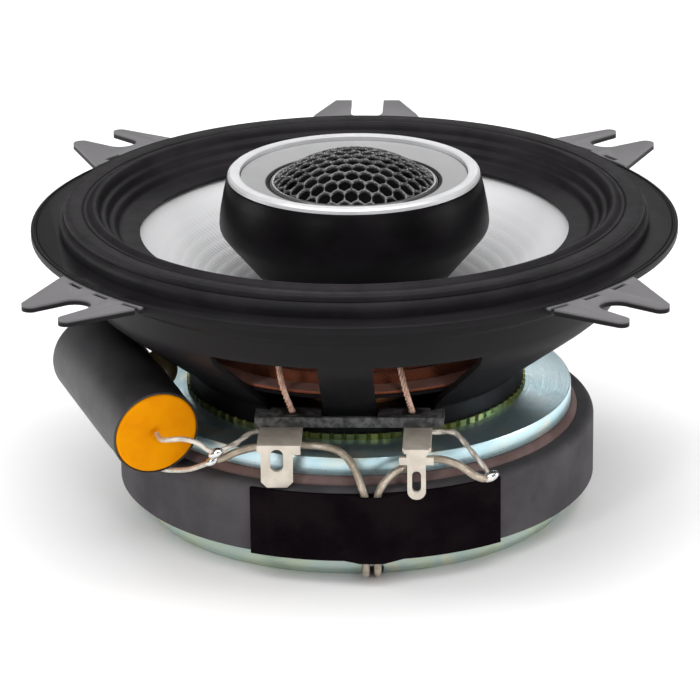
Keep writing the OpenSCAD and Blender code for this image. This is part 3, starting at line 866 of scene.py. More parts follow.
    @classmethod
    def swept(
        cls,
        name: str,
        route: Sequence[Spot],
        width: float,
        lobes: int = 0,
        lay: float = 3.0,
    ) -> Piece:
        """Sweeps a round or stranded section along a route.

        Args:
            name: Name of the piece.
            route: Points of the route.
            width: Diameter over the strands.
            lobes: Number of strands, or 0 for a round wire.
            lay: Length in which the strands go once round.

        Returns:
            The swept piece as a mesh.
        """
        path = curved(route, 8 if lobes else 4)
        section = cls._section(name, width / 2, lobes)
        data = bpy.data.curves.new(name, "CURVE")
        data.dimensions = "3D"
        data.twist_mode = "MINIMUM"
        spline = data.splines.new("POLY")
        spline.points.add(len(path) - 1)
        gone = 0.0
        for i, point in enumerate(path):
            if i:
                gone += (point - path[i - 1]).length
            spline.points[i].co = (*(point * MM), 1.0)
            spline.points[i].tilt = math.tau * gone / lay if lobes else 0.0
        data.bevel_mode = "OBJECT"
        data.bevel_object = section
        data.use_fill_caps = True
        piece = bpy.data.objects.new(name, data)
        bpy.context.scene.collection.objects.link(piece)
        cls.take(piece)
        bpy.ops.object.convert(target="MESH")
        piece = cls.named(name)
        bpy.data.objects.remove(section)
        cls.edit(piece)
        cls.merge(0.001)
        bpy.ops.object.mode_set(mode="OBJECT")
        return cls.smooth(piece, 50.0)

    @classmethod
    def _section(cls, name: str, radius: float, lobes: int) -> Piece:
        """Draws the cross-section of a wire or a rope.

        Args:
            name: Name of the piece that is swept.
            radius: Radius over the strands.
            lobes: Number of strands, or 0 for a round wire.

        Returns:
            A closed flat curve.
        """
        data = bpy.data.curves.new(name + "_section", "CURVE")
        data.dimensions = "2D"
        spline = data.splines.new("POLY")
        count = 8 * lobes if lobes else 16
        spline.points.add(count - 1)
        for i in range(count):
            angle = math.tau * i / count
            waist = 0.62 + 0.38 * abs(math.cos(lobes * angle / 2)) if lobes else 1.0
            spot = Vector((math.cos(angle), math.sin(angle), 0.0)) * radius * waist * MM
            spline.points[i].co = (*spot, 1.0)
        spline.use_cyclic_u = True
        section = bpy.data.objects.new(name + "_section", data)
        bpy.context.scene.collection.objects.link(section)
        return section

    @classmethod
    def settle(cls, piece: Piece, matrix: Matrix) -> None:
        """Turns and moves a finished mesh into its place, with the object left at the origin."""
        piece.data.transform(matrix)
        piece.data.update()

    @classmethod
    def join(cls, name: str, pieces: Sequence[Piece]) -> Piece:
        """Joins pieces into one.

        Args:
            name: Name of the joined piece.
            pieces: Pieces to join, which are used up.

        Returns:
            The joined piece.
        """
        cls.clear()
        for piece in pieces:
            piece.select_set(True)
        bpy.context.view_layer.objects.active = pieces[0]
        bpy.ops.object.join()
        return cls.named(name)


def curved(route: Sequence[Spot], steps: int) -> list[Vector]:
    """Smooth curve through the points of a route.

    Args:
        route: Points that the curve passes through.
        steps: Pieces between two of them.

    Returns:
        The points of the curve.
    """
    p = [Vector(q) for q in route]
    out = []
    for i in range(len(p) - 1):
        a, b, c, d = p[max(i - 1, 0)], p[i], p[i + 1], p[min(i + 2, len(p) - 1)]
        for k in range(steps):
            t = k / steps
            out.append(b + 0.5 * t * (c - a + t * (2 * a - 5 * b + 4 * c - d
                                                   + t * (3 * b - a - 3 * c + d))))
    out.append(p[-1])
    return out


def rounded(points: Sequence[Flat], steps: int) -> list[Flat]:
    """Smooth outline through flat points."""
    return [(q.x, q.y) for q in curved([(r, z, 0.0) for r, z in points], steps)]


def arc(centre: Flat, radius: float, start: float, end: float, steps: int) -> list[Flat]:
    """Points on an arc.

    Args:
        centre: Middle of the arc.
        radius: Its radius.
        start: Angle of the first point in degrees.
        end: Angle of the last point in degrees.
        steps: Pieces that the arc is cut into.

    Returns:
        The points, both ends included.
    """
    angles = [math.radians(start + (end - start) * i / steps) for i in range(steps + 1)]
    return [(centre[0] + radius * math.cos(a), centre[1] + radius * math.sin(a)) for a in angles]


def flex_between(piece: Piece, child: str, moving_r: float, still_r: float) -> None:
    """Lets a ring flex between its moving edge and its fixed one.

    Args:
        piece: Finished ring about the speaker's axis.
        child: Body at the moving edge; the other one is the frame.
        moving_r: Radius that moves fully.
        still_r: Radius that stays still.
    """
    start, end = (still_r * MM, 0.0, 0.0), (moving_r * MM, 0.0, 0.0)
    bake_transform(piece, FRAME_BODY, child, start=start, end=end)
    weights = piece.data.attributes["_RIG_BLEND"].data
    for vertex, weight in zip(piece.data.vertices, weights):
        share = (vertex.co.xy.length / MM - still_r) / (moving_r - still_r)
        share = min(max(share, 0.0), 1.0)
        weight.value = share * share * (3 - 2 * share)


@dataclass
class Assembly:
    """Shared parts of every sub-assembly.

    Attributes:
        frame: The loaded frame.
        paint: The paintbox.
    """

    frame: dict
    paint: Paintbox

    def clothe(self, piece: Piece, finish: Coating, slot: str, *nodes: str) -> None:
        """Dresses a piece, hides the CAD nodes that it replaces and logs its faces.

        Args:
            piece: Finished piece.
            finish: Its finish.
            slot: Not used.
            nodes: CAD nodes that it replaces.
        """
        self.paint.dress(piece, finish)
        if nodes:
            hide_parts(*nodes)
        log.info("%s: %d faces", piece.name, len(piece.data.polygons))

    def mount(self, piece: Piece, body: str, finish: Coating, slot: str, *nodes: str) -> None:
        """Rides a stiff piece on a body and clothes it."""
        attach(piece, body)
        self.clothe(piece, finish, slot, *nodes)


# ---------------------------------------------------------------------- basket


@dataclass
class Basket(Assembly):
    """Pressed frame, its gasket and the clinch ring.

    Attributes:
        bead_r: Radius of the bead's crest.
        gasket_outer: Outer radius of the gasket's foot.
        gasket_inner: Inner radius of the gasket.
    """

    bead_r: float = 50.15
    gasket_outer: float = 46.0
    gasket_inner: float = 41.0

    def build(self) -> None:
        """Models and dresses the basket's pieces."""
        pressing = Bench.copy_node(self.frame, "basket", "basket_pressing", 0.16)
        self.mount(pressing, FRAME_BODY, SATIN_BLACK, "black_paint", "basket")
        self.build_bead()
        self.build_gasket()
        self.paint.dress_node("seat_ring", CHROMATE)
        self.paint.dress_node("spider_ring", INNER_BLACK)

    def build_bead(self) -> None:
        """Rolled bead along the flange's edge."""
        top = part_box("basket")[1].z / MM
        outline = [(self.bead_r - 0.35, top - 0.3)]
        outline += arc((self.bead_r, top - 0.19), 0.35, 180, 0, 8)
        outline += [(self.bead_r + 0.35, top - 0.3), outline[0]]
        bead = Bench.smooth(Bench.lathe("flange_bead", outline, 200))
        self.mount(bead, FRAME_BODY, SATIN_BLACK, "black_paint")

    def build_gasket(self) -> None:
        """Raised sealing ring with a soft outer edge."""
        low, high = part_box("gasket")
        foot, top = low.z / MM, high.z / MM
        outline = [(self.gasket_inner, foot), (self.gasket_outer, foot)]
        outline += rounded([(self.gasket_outer, foot + 0.3), (self.gasket_outer, foot + 1.2),
                            (self.gasket_outer - 0.25, foot + 1.8),
                            (self.gasket_outer - 0.7, top)], 3)
        outline += [(self.gasket_inner + 0.2, top), (self.gasket_inner, foot)]
        gasket = Bench.smooth(Bench.lathe("gasket_rubber", outline, 200))
        self.mount(gasket, FRAME_BODY, RUBBER, "surround_rubber", "gasket")


# ------------------------------------------------------------------------ cone


@dataclass
class Suspension(Assembly):
    """Surround, spider, cone, voice coil and the cement on the leads.

    Attributes:
        cone_r: Radius of the cone's edge.
        neck_r: Radius of the neck on the coil former.
        depth: Height from the neck to the edge.
        hollow: Scale of the wall's sag below a straight one.
        glue_gap: Height of the edge below the flange's underside.
        cone_t: Thickness of the cone.
        surround_t: Thickness of the surround.
        surround_moves_r: Radius inside which the surround moves with the cone.
        surround_holds_r: Radius outside which the surround stays still.
        spider_t: Thickness of the spider.
        spider_r: Radius of the spider's glued rim.
        waves: Corrugations of the spider.
        wave_from: Radius at which they start.
        wave_to: Radius at which they end.
        wave_rise: Height of one above the flat.
    """

    cone_r: float = 34.6
    neck_r: float = 12.8
    depth: float = 13.3
    hollow: float = 1.1
    glue_gap: float = 0.6
    cone_t: float = 0.6
    surround_t: float = 0.6
    surround_moves_r: float = 34.9
    surround_holds_r: float = 40.6
    spider_t: float = 0.4
    spider_r: float = 30.15
    waves: int = 4
    wave_from: float = 14.5
    wave_to: float = 26.8
    wave_rise: float = 0.9

    def build(self) -> None:
        """Models and dresses the moving parts."""
        self.build_surround()
        self.build_spider()
        self.build_cone()
        self.paint.dress_node("voice_coil_former", FORMER)
        self.paint.dress_node("voice_coil_winding", COPPER)
        self.paint.dress_node("cone_lead_anchors", CEMENT)

    def build_surround(self) -> None:
        """Rubber sheet that steps down in rolls, with fine moulded ribs."""
        rolls = [(33.5, -0.15), (34.6, 0.1), (35.6, 0.3), (36.7, 0.55), (37.15, 1.2), (37.5, 1.55),
                 (38.2, 1.8), (38.5, 2.4), (38.8, 2.85), (39.5, 3.1), (39.75, 3.7), (40.1, 4.2),
                 (40.6, 4.4), (41.2, 4.2), (41.7, 3.93), (42.1, 3.95), (42.3, 4.12), (42.5, 3.95),
                 (43.3, 4.08), (44.3, 4.1), (44.9, 4.0), (45.1, 4.06), (45.25, 3.8), (45.3, 3.3)]
        sheet = Bench.lathe("surround_rubber", rounded(rolls, 3), 200)
        Bench.sheet(sheet, self.surround_t)
        Bench.smooth(sheet, 60.0)
        self.clothe(sheet, RUBBER, "surround_rubber", "surround")
        flex_between(sheet, CONE_BODY, self.surround_moves_r, self.surround_holds_r)

    def spider_outline(self) -> list[Flat]:
        """Waves of the spider from its neck to its glued rim.

        Returns:
            The outline of its upper face.
        """
        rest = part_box("spider_ring")[1].z / MM
        start, count = self.neck_r + 0.05, 120
        outline = []
        for i in range(count + 1):
            r = start + (self.spider_r - start) * i / count
            phase = (r - self.wave_from) / (self.wave_to - self.wave_from)
            wave = math.sin(math.tau * self.waves * phase) if 0 <= phase <= 1 else 0.0
            outline.append((r, rest + self.spider_t + self.wave_rise * wave))
        return outline

    def build_spider(self) -> None:
        """Corrugated cloth centring ring."""
        spider = Bench.lathe("spider_cloth", self.spider_outline(), 144)
        Bench.sheet(spider, self.spider_t)
        Bench.smooth(spider, 60.0)
        self.clothe(spider, SPIDER, "spider_cloth", "spider")
        flex_between(spider, CONE_BODY, self.wave_from, self.wave_to)

    def build_cone(self) -> None:
        """Cone with a dish-shaped wall and a short neck on the coil former."""
        outline, steps = [], 32
        for i in range(steps + 1):
            r = self.neck_r + (self.cone_r - self.neck_r) * i / steps
            t = (self.cone_r - r) / (self.cone_r - self.neck_r)
            sag = self.hollow * math.sin(math.pi * t) * (1 - t)
            outline.append((r, -self.depth * t - sag - self.glue_gap))
        neck_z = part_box("cone")[0].z / MM
        cone = Bench.lathe("cone_woven", [(self.neck_r, neck_z), *outline], 192)
        Bench.sheet(cone, self.cone_t)
        Bench.smooth(cone)
        self.mount(cone, CONE_BODY, CONE, "cone_fibre", "cone")


# --------------------------------------------------------------------- tweeter


@dataclass
class Tweeter(Assembly):
    """Tweeter on its post: cup, trim, grille, dome and motor.

    Attributes:
        cup_r: Largest radius of the cup.
        cup_wall: Thickness of the cup's floor.
        grille_r: Radius of the grille's mesh.
        grille_foot: Height of the mesh's edge above the foot of its rim.
        cell: Width of a hexagonal cell, from flat to flat.
        strut: Width of a strut.
        mesh_t: Depth of a strut.
        weld: Reach within which the cells' corners merge.
        rim_r: Outer radius of the grille's rim.
        roll_moves_r: Radius inside which the half roll moves with the dome.
        roll_holds_r: Radius outside which the half roll stays still.
    """

    cup_r: float = 21.1
    cup_wall: float = 1.6
    grille_r: float = 12.6
    grille_foot: float = 0.48
    cell: float = 2.1
    strut: float = 0.85
    mesh_t: float = 0.45
    weld: float = 0.02
    rim_r: float = 13.25
    roll_moves_r: float = 10.45
    roll_holds_r: float = 12.2

    def build(self) -> None:
        """Models and dresses the tweeter's pieces."""
        self.build_cup()
        self.build_grille()
        self.build_surround()
        for node, finish in (
            ("tweeter_post", PLASTIC), ("post_bolt", STEEL), ("post_insert", BRASS),
            ("cup_screws", STEEL), ("tweeter_trim_ring", BRIGHT), ("tweeter_faceplate", SILVER),
            ("tweeter_yoke", STEEL), ("tweeter_magnet", STEEL), ("tweeter_pole_plate", STEEL),
            ("tweeter_chassis", PLASTIC), ("tweeter_dome", SILK),
            ("tweeter_coil_former", FORMER), ("tweeter_coil_winding", COPPER),
            ("tweeter_tags", TIN),
        ):
            self.paint.dress_node(node, finish)

    def build_cup(self) -> None:
        """Cup with a flared foot and sides that close in a little, turned in one sweep."""
        low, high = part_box("tweeter_cup")
        foot, top, wide = low.z / MM, high.z / MM, self.cup_r
        floor = foot + self.cup_wall
        outside = [(14.1, foot), (14.5, foot + 0.1), (17.0, -5.05), (19.5, -2.05), (20.35, -1.0),
                   (20.8, -0.35), (21.02, 0.2), (wide, 0.8), (wide - 0.08, 2.0),
                   (wide - 0.25, 3.3), (wide - 0.75, 5.9), (wide - 1.2, top - 0.25),
                   (wide - 1.42, top)]
        outline = [(2.6, foot), *outside, (17.75, top), (17.75, 3.2), (17.0, 3.2), (17.0, -2.4),
                   (13.6, floor), (2.6, floor), (2.6, foot)]
        cup = Bench.lathe("tweeter_cup_shell", outline, 160)
        Bench.smooth(cup, 40.0)
        self.mount(cup, FRAME_BODY, PLASTIC, "black_plastic", "tweeter_cup")

    def build_grille(self) -> None:
        """Domed hexagonal mesh in a narrow rim."""
        low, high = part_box("tweeter_grille")
        rise = high.z / MM - (low.z / MM + self.grille_foot)
        ball = (self.grille_r**2 + rise**2) / (2 * rise)
        centre_z = high.z / MM - ball
        sheet = self.hex_sheet("grille_mesh")
        Bench.edit(sheet)
        bpy.ops.mesh.subdivide(number_cuts=1)
        bpy.ops.object.mode_set(mode="OBJECT")
        for vertex in sheet.data.vertices:
            flat = vertex.co.xy
            limit = self.grille_r * MM
            if flat.length > limit:
                vertex.co.xy = flat * (limit / flat.length)
            reach = vertex.co.xy.length / MM
            vertex.co.z = (centre_z + math.sqrt(ball**2 - reach**2) - self.mesh_t / 2) * MM
        Bench.edit(sheet)
        Bench.merge(self.weld)
        bpy.ops.object.mode_set(mode="OBJECT")
        Bench.face_up(sheet)
        Bench.apply(sheet, "WIREFRAME", thickness=self.strut * MM, use_even_offset=False,
                    use_relative_offset=False, use_replace=True, use_boundary=True)
        Bench.apply(sheet, "SUBSURF", levels=1, render_levels=1)
        foot = low.z / MM
        rim = [(12.3, foot + 0.6), (12.5, foot + 0.8), (12.9, foot + 0.75),
               (self.rim_r, foot + 0.4), (self.rim_r, foot + 0.02), (12.4, foot + 0.02),
               (12.3, foot + 0.6)]
        ring = Bench.lathe("grille_rim", rim, 120)
        grille = Bench.join("grille_mesh", [sheet, ring])
        Bench.smooth(grille, 60.0)
        self.mount(grille, FRAME_BODY, MESH_BLACK, "grille_steel", "tweeter_grille")

    def hex_sheet(self, name: str) -> Piece:
        """Lays out hexagonal cells that cover the grille.

        Args:
            name: Name of the piece.

        Returns:
            A flat sheet at the origin's height.
        """
        cells = []
        side = self.cell / math.sqrt(3)
        reach = int(self.grille_r / self.cell) + 2
        for row in range(-reach, reach + 1):
            for column in range(-reach, reach + 1):
                x = self.cell * (column + (row % 2) / 2)
                y = 1.5 * side * row
                if math.hypot(x, y) > self.grille_r + 0.3 * self.cell:
                    continue
                Bench.clear()
                bpy.ops.mesh.primitive_circle_add(
                    vertices=6, radius=side * MM, fill_type="NGON", location=(x * MM, y * MM, 0)
                )
                cells.append(bpy.context.object)
        sheet = Bench.join(name, cells)
        bpy.ops.object.transform_apply(location=True, rotation=True, scale=True)
        Bench.edit(sheet)
        Bench.merge(self.weld)
        bpy.ops.object.mode_set(mode="OBJECT")
        return sheet

    def build_surround(self) -> None:
        """Half roll round the silk dome."""
        outline = [(13.2, 5.42), (12.3, 5.45), *arc((11.3, 5.5), 0.95, 0, 180, 14)]
        roll = Bench.lathe("tweeter_half_roll", outline, 120)
        Bench.sheet(roll, 0.2, 1.0)
        Bench.smooth(roll, 60.0)
        self.clothe(roll, SILK, "silk", "tweeter_surround")
        flex_between(roll, DOME_BODY, self.roll_moves_r, self.roll_holds_r)


# ----------------------------------------------------------------------- motor


@dataclass
class Motor(Assembly):
    """Magnet system in its rubber boot."""

    def build(self) -> None:
        """Dresses the motor and rounds the edges that show."""
        magnet = Bench.copy_node(self.frame, "magnet", "magnet_ring", 0.25)
        self.mount(magnet, FRAME_BODY, FERRITE, "ferrite", "magnet")
        plate = Bench.copy_node(self.frame, "top_plate", "top_plate_disc", 0.25)
        self.mount(plate, FRAME_BODY, BLUE_ZINC, "zinc_plate", "top_plate")
        felt = Bench.copy_node(self.frame, "felt_patch", "felt_patch_cloth", 0.2)
        self.mount(felt, FRAME_BODY, FELT, "felt", "felt_patch")
        self.paint.dress_node("yoke", BACK_ZINC)
        self.paint.dress_node("magnet_boot", BOOT)


# ------------------------------------------------------------------- terminals


@dataclass
class Terminals(Assembly):
    """Board, push-on tabs, eyelets and the braided tinsel leads.

    Attributes:
        tinsel_d: Diameter of a braid.
        tinsel_lay: Length in which its strands go once round.
        held: Length at the board that stays still.
        carried: Length at the cone that moves fully.
        left_route: Points of the left braid, from the board to the cone.
        right_route: Points of the right braid.
    """

    tinsel_d: float = 1.0
    tinsel_lay: float = 3.4
    held: float = 0.6
    carried: float = 0.4
    left_route: tuple[Spot, ...] = (
        (-8.7, -26.9, -20.85), (-8.9, -28.2, -19.8), (-9.5, -29.9, -17.2), (-10.2, -29.6, -14.8),
        (-10.7, -27.8, -12.4), (-10.9, -25.4, -10.6), (-10.9, -23.2, -9.8), (-10.8, -22.5, -9.1),
    )
    right_route: tuple[Spot, ...] = (
        (9.5, -26.9, -20.85), (9.4, -28.2, -19.8), (8.9, -30.1, -17.2), (8.3, -29.9, -14.8),
        (7.6, -28.2, -12.4), (7.2, -26.0, -10.6), (7.2, -24.0, -9.8), (7.2, -23.2, -9.1),
    )

    def build(self) -> None:
        """Models and dresses the terminal side."""
        board = Bench.copy_node(self.frame, "terminal_board", "terminal_board_fibre", 0.12)
        self.mount(board, FRAME_BODY, FIBRE, "board_fibre", "terminal_board")
        for side in ("positive", "negative"):
            tab = Bench.copy_node(self.frame, f"terminal_{side}", f"tab_{side}", 0.14)
            self.mount(tab, FRAME_BODY, TIN, "tinned_brass", f"terminal_{side}")
        self.paint.dress_node("terminal_eyelets", CEMENT)
        self.build_lead("left", self.left_route)
        self.build_lead("right", self.right_route)

    def build_lead(self, side: str, route: Sequence[Spot]) -> None:
        """Braided lead that flexes between the board and the cone.

        Args:
            side: "left" or "right".
            route: Points of the lead, from the board to the cone.
        """
        lead = Bench.swept(f"tinsel_rope_{side}", route, self.tinsel_d, 4, self.tinsel_lay)
        self.clothe(lead, TINSEL, "tinsel", f"tinsel_lead_{side}")
        start = tuple(c * MM for c in (route[0][0], route[1][1], route[0][2] + self.held))
        end = (start[0], start[1], (route[-1][2] - self.carried) * MM)
        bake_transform(lead, FRAME_BODY, CONE_BODY, start=start, end=end)


# ------------------------------------------------------------------- crossover


@dataclass
class Crossover(Assembly):
    """Film capacitor, its leads and the wires that run to the tweeter.

    Attributes:
        front: Middle of the capacitor's front face.
        rear: Middle of its rear face.
        radius: Outer radius of its sleeve.
        sleeve_t: Thickness of the sleeve.
        sleeve_round: Radius of the sleeve's rounded far end.
        lead_d: Diameter of the capacitor's leads.
        link_d: Diameter of the links over their two strands.
        link_lay: Length in which these strands go once round.
        wire_d: Diameter of the tweeter wires over their insulation.
        strand_share: Diameter of the strands against that of the insulation.
        lead_front: Points of the front lead, from the capacitor.
        lead_rear: Points of the rear lead, from the capacitor.
        link_positive: Points of the link to the positive tab.
        link_negative: Points of the link to the negative tab, from the tab.
        wire_positive: Points of the positive tweeter wire, from its joint.
        wire_negative: Points of the negative tweeter wire, from its joint.
    """

    front: Spot = (-29.1, -31.1, -23.0)
    rear: Spot = (-41.5, -4.9, -19.0)
    radius: float = 6.9
    sleeve_t: float = 0.35
    sleeve_round: float = 2.0
    lead_d: float = 0.8
    link_d: float = 0.9
    link_lay: float = 5.0
    wire_d: float = 1.2
    strand_share: float = 0.82
    lead_front: tuple[Spot, ...] = (
        (-29.1, -31.1, -23.0), (-28.4, -32.9, -23.2), (-27.1, -34.1, -22.8), (-25.0, -34.3, -22.6),
        (-22.8, -34.2, -23.2), (-21.2, -34.1, -24.4), (-20.0, -34.0, -25.0),
    )
    lead_rear: tuple[Spot, ...] = (
        (-41.5, -4.9, -19.0), (-42.1, -3.3, -19.4), (-41.7, -2.0, -22.2), (-40.3, -2.2, -26.2),
        (-39.4, -8.0, -28.9), (-37.5, -14.0, -29.3), (-34.2, -20.5, -29.8), (-29.6, -26.7, -30.3),
        (-25.0, -30.8, -29.0), (-22.0, -32.7, -27.4), (-20.6, -33.0, -26.6),
    )
    link_positive: tuple[Spot, ...] = (
        (-20.0, -34.0, -25.0), (-18.6, -33.6, -24.4), (-16.8, -32.2, -23.9), (-15.2, -30.4, -23.3),
        (-13.9, -29.4, -23.2),
    )
    link_negative: tuple[Spot, ...] = (
        (12.6, -29.6, -23.2), (14.4, -29.6, -23.1), (16.1, -29.9, -23.2), (17.5, -31.2, -24.2),
        (19.4, -33.4, -25.8), (20.8, -34.8, -27.2), (21.5, -35.3, -28.1),
    )
    wire_positive: tuple[Spot, ...] = (
        (-20.6, -33.0, -26.6), (-18.8, -32.9, -26.1), (-17.0, -32.5, -25.4), (-14.4, -32.1, -24.8),
        (-11.4, -32.0, -24.5), (-8.4, -32.1, -24.4), (-5.4, -32.5, -24.3), (-2.8, -33.2, -24.4),
        (-0.8, -34.2, -24.9), (0.5, -35.5, -26.0), (1.5, -36.9, -27.5), (2.2, -38.0, -29.1),
        (2.65, -38.4, -30.6), (2.7, -38.45, -33.0), (2.7, -38.45, -37.0), (2.7, -38.45, -40.4),
        (2.7, -38.0, -41.7), (2.65, -36.9, -43.0), (2.6, -34.9, -44.2), (2.45, -31.0, -44.45),
        (2.0, -25.0, -44.45), (1.4, -18.0, -44.45), (0.7, -11.0, -44.45), (0.0, -5.6, -44.45),
        (-0.4, -2.8, -44.4), (-0.65, -1.0, -43.9), (-0.65, -0.2, -42.5), (-0.65, 0.0, -40.0),
        (-0.65, 0.0, -34.0), (-0.65, 0.0, -27.0), (-0.65, 0.0, -20.0), (-0.65, 0.0, -14.0),
        (-0.65, 0.0, -9.6), (-0.9, 0.0, -7.4), (-2.2, 0.2, -5.9), (-5.0, 0.7, -5.5),
        (-9.0, 1.2, -5.5), (-12.6, 1.5, -5.2), (-14.4, 1.6, -3.6), (-14.8, 1.6, -1.0),
        (-14.8, 1.6, 2.8),
    )
    wire_negative: tuple[Spot, ...] = (
        (21.5, -35.3, -28.1), (20.4, -35.9, -28.2), (18.8, -36.0, -27.5), (16.8, -35.8, -26.1),
        (14.2, -35.3, -25.4), (11.6, -35.2, -25.5), (9.0, -35.7, -26.2), (6.6, -36.7, -27.4),
        (5.0, -37.8, -29.1), (4.5, -38.2, -30.7), (4.45, -38.25, -33.0), (4.45, -38.25, -37.0),
        (4.45, -38.25, -40.4), (4.45, -37.8, -41.7), (4.4, -36.7, -43.0), (4.3, -34.7, -44.2),
        (4.05, -31.0, -44.45), (3.5, -25.0, -44.45), (2.9, -18.0, -44.45), (2.2, -11.0, -44.45),
        (1.4, -5.6, -44.45), (0.95, -2.8, -44.4), (0.65, -1.0, -43.9), (0.65, -0.2, -42.5),
        (0.65, 0.0, -40.0), (0.65, 0.0, -34.0), (0.65, 0.0, -27.0), (0.65, 0.0, -20.0),
        (0.65, 0.0, -14.0), (0.65, 0.0, -9.6), (0.9, 0.0, -7.4), (2.2, 0.2, -5.9),
        (5.0, 0.7, -5.5), (9.0, 1.2, -5.5), (12.6, 1.5, -5.2), (14.4, 1.6, -3.6),
        (14.8, 1.6, -1.0), (14.8, 1.6, 2.8),
    )

    def build(self) -> None:
        """Models and dresses the crossover."""
        self.build_capacitor()
        self.build_leads()
        self.build_joints()
        self.build_wire("positive", self.wire_positive)
        self.build_wire("negative", self.wire_negative)
        self.paint.dress_node("capacitor_winding", FILM)
        self.paint.dress_node("capacitor_adhesive", GLUE)

    def axis(self) -> Matrix:
        """Placement of what is turned about +Z, from the capacitor's front face.

        Returns:
            The matrix that turns +Z onto the capacitor's axis.
        """
        way = Vector(self.rear) - Vector(self.front)
        turn = Vector((0, 0, 1)).rotation_difference(way).to_matrix().to_4x4()
        return Matrix.Translation(Vector(self.front) * MM) @ turn

    def build_capacitor(self) -> None:
        """Shrink sleeve with a rounded far end and poured resin at both ends."""
        length = (Vector(self.rear) - Vector(self.front)).length
        r, t, bend = self.radius, self.sleeve_t, self.sleeve_round
        skin = [(r - t, 0.5), (r - t, 0.3), (r - 0.2, 0.14), (r, 0.3), (r, 0.8), (r - 0.08, 3.0),
                (r, 6.0), (r, length - 2.4)]
        skin += arc((r - bend, length - bend), bend, 0, 90, 10)
        skin += arc((r - bend, length - bend), bend - t, 90, 0, 8)
        skin += [(r - t, length - 2.4), skin[0]]
        sleeve = Bench.smooth(Bench.lathe("capacitor_shell", skin, 96), 50.0)
        Bench.settle(sleeve, self.axis())
        self.mount(sleeve, FRAME_BODY, SLEEVE, "sleeve_pvc", "capacitor_sleeve")
        face = r - t - 0.03
        front = rounded([(0.0, 0.65), (0.45, 0.55), (0.9, 0.3), (1.6, 0.12), (3.8, 0.04),
                         (face - 0.7, 0.02), (face - 0.2, 0.08), (face, 0.3)], 4)
        front = [(0.0, 1.75), *front, (face, 1.75), (0.0, 1.75)]
        back = [(0.0, length - 3.15), (4.6, length - 3.15), (4.6, length - 0.4),
                (4.0, length - 0.25), (0.0, length - 0.3), (0.0, length - 3.15)]
        seals = [Bench.lathe("resin_front", front, 96), Bench.lathe("resin_back", back, 96)]
        resin = Bench.smooth(Bench.join("capacitor_resin", seals), 50.0)
        Bench.settle(resin, self.axis())
        self.mount(resin, FRAME_BODY, RESIN, "resin", "capacitor_seals")

    def build_leads(self) -> None:
        """Bare leads of the capacitor and the twisted links to the tabs."""
        for name, route, width, lobes, slot in (
            ("capacitor_lead_front", self.lead_front, self.lead_d, 0, "bare_lead"),
            ("capacitor_lead_rear", self.lead_rear, self.lead_d, 0, "bare_lead"),
            ("positive_link", self.link_positive, self.link_d, 2, "clear_insulation"),
            ("negative_link", self.link_negative, self.link_d, 2, "clear_insulation"),
        ):
            wire = Bench.swept(f"{name}_wire", route, width, lobes, self.link_lay)
            self.mount(wire, FRAME_BODY, LEAD, slot, name)

    def build_joints(self) -> None:
        """Soldered and twisted joints."""
        blobs = []
        for spot, size, way in (
            (self.link_positive[0], 0.95, (-0.7, 0.1, -0.35)),
            (self.wire_positive[0], 0.9, (0.9, 0.1, 0.5)),
            (self.wire_negative[0], 1.0, (0.6, 0.3, 0.2)),
        ):
            Bench.clear()
            bpy.ops.mesh.primitive_uv_sphere_add(segments=28, ring_count=18, radius=size * MM)
            blob = Bench.named("blob")
            turn = Vector((0, 0, 1)).rotation_difference(Vector(way)).to_matrix().to_4x4()
            stretch = Matrix.Diagonal((0.8, 0.8, 1.35, 1.0))
            Bench.settle(blob, Matrix.Translation(Vector(spot) * MM) @ turn @ stretch)
            blobs.append(blob)
        joints = Bench.smooth(Bench.join("solder_blobs", blobs), 60.0)
        self.mount(joints, FRAME_BODY, SOLDER, "solder", "solder_joints")

    def build_wire(self, side: str, route: Sequence[Spot]) -> None:
        """Tinned strands inside their clear insulation.

        Args:
            side: "positive" or "negative".
            route: Points of the wire, from its joint to the tweeter.
        """
        core = Bench.swept(f"strands_{side}", route, self.wire_d * self.strand_share)
        self.mount(core, FRAME_BODY, LEAD, "bare_lead")
        sheath = Bench.swept(f"sheath_{side}", route, self.wire_d)
        self.mount(sheath, FRAME_BODY, SHEATH, "clear_insulation", f"tweeter_wire_{side}")


# ----------------------------------------------------------------------- stage


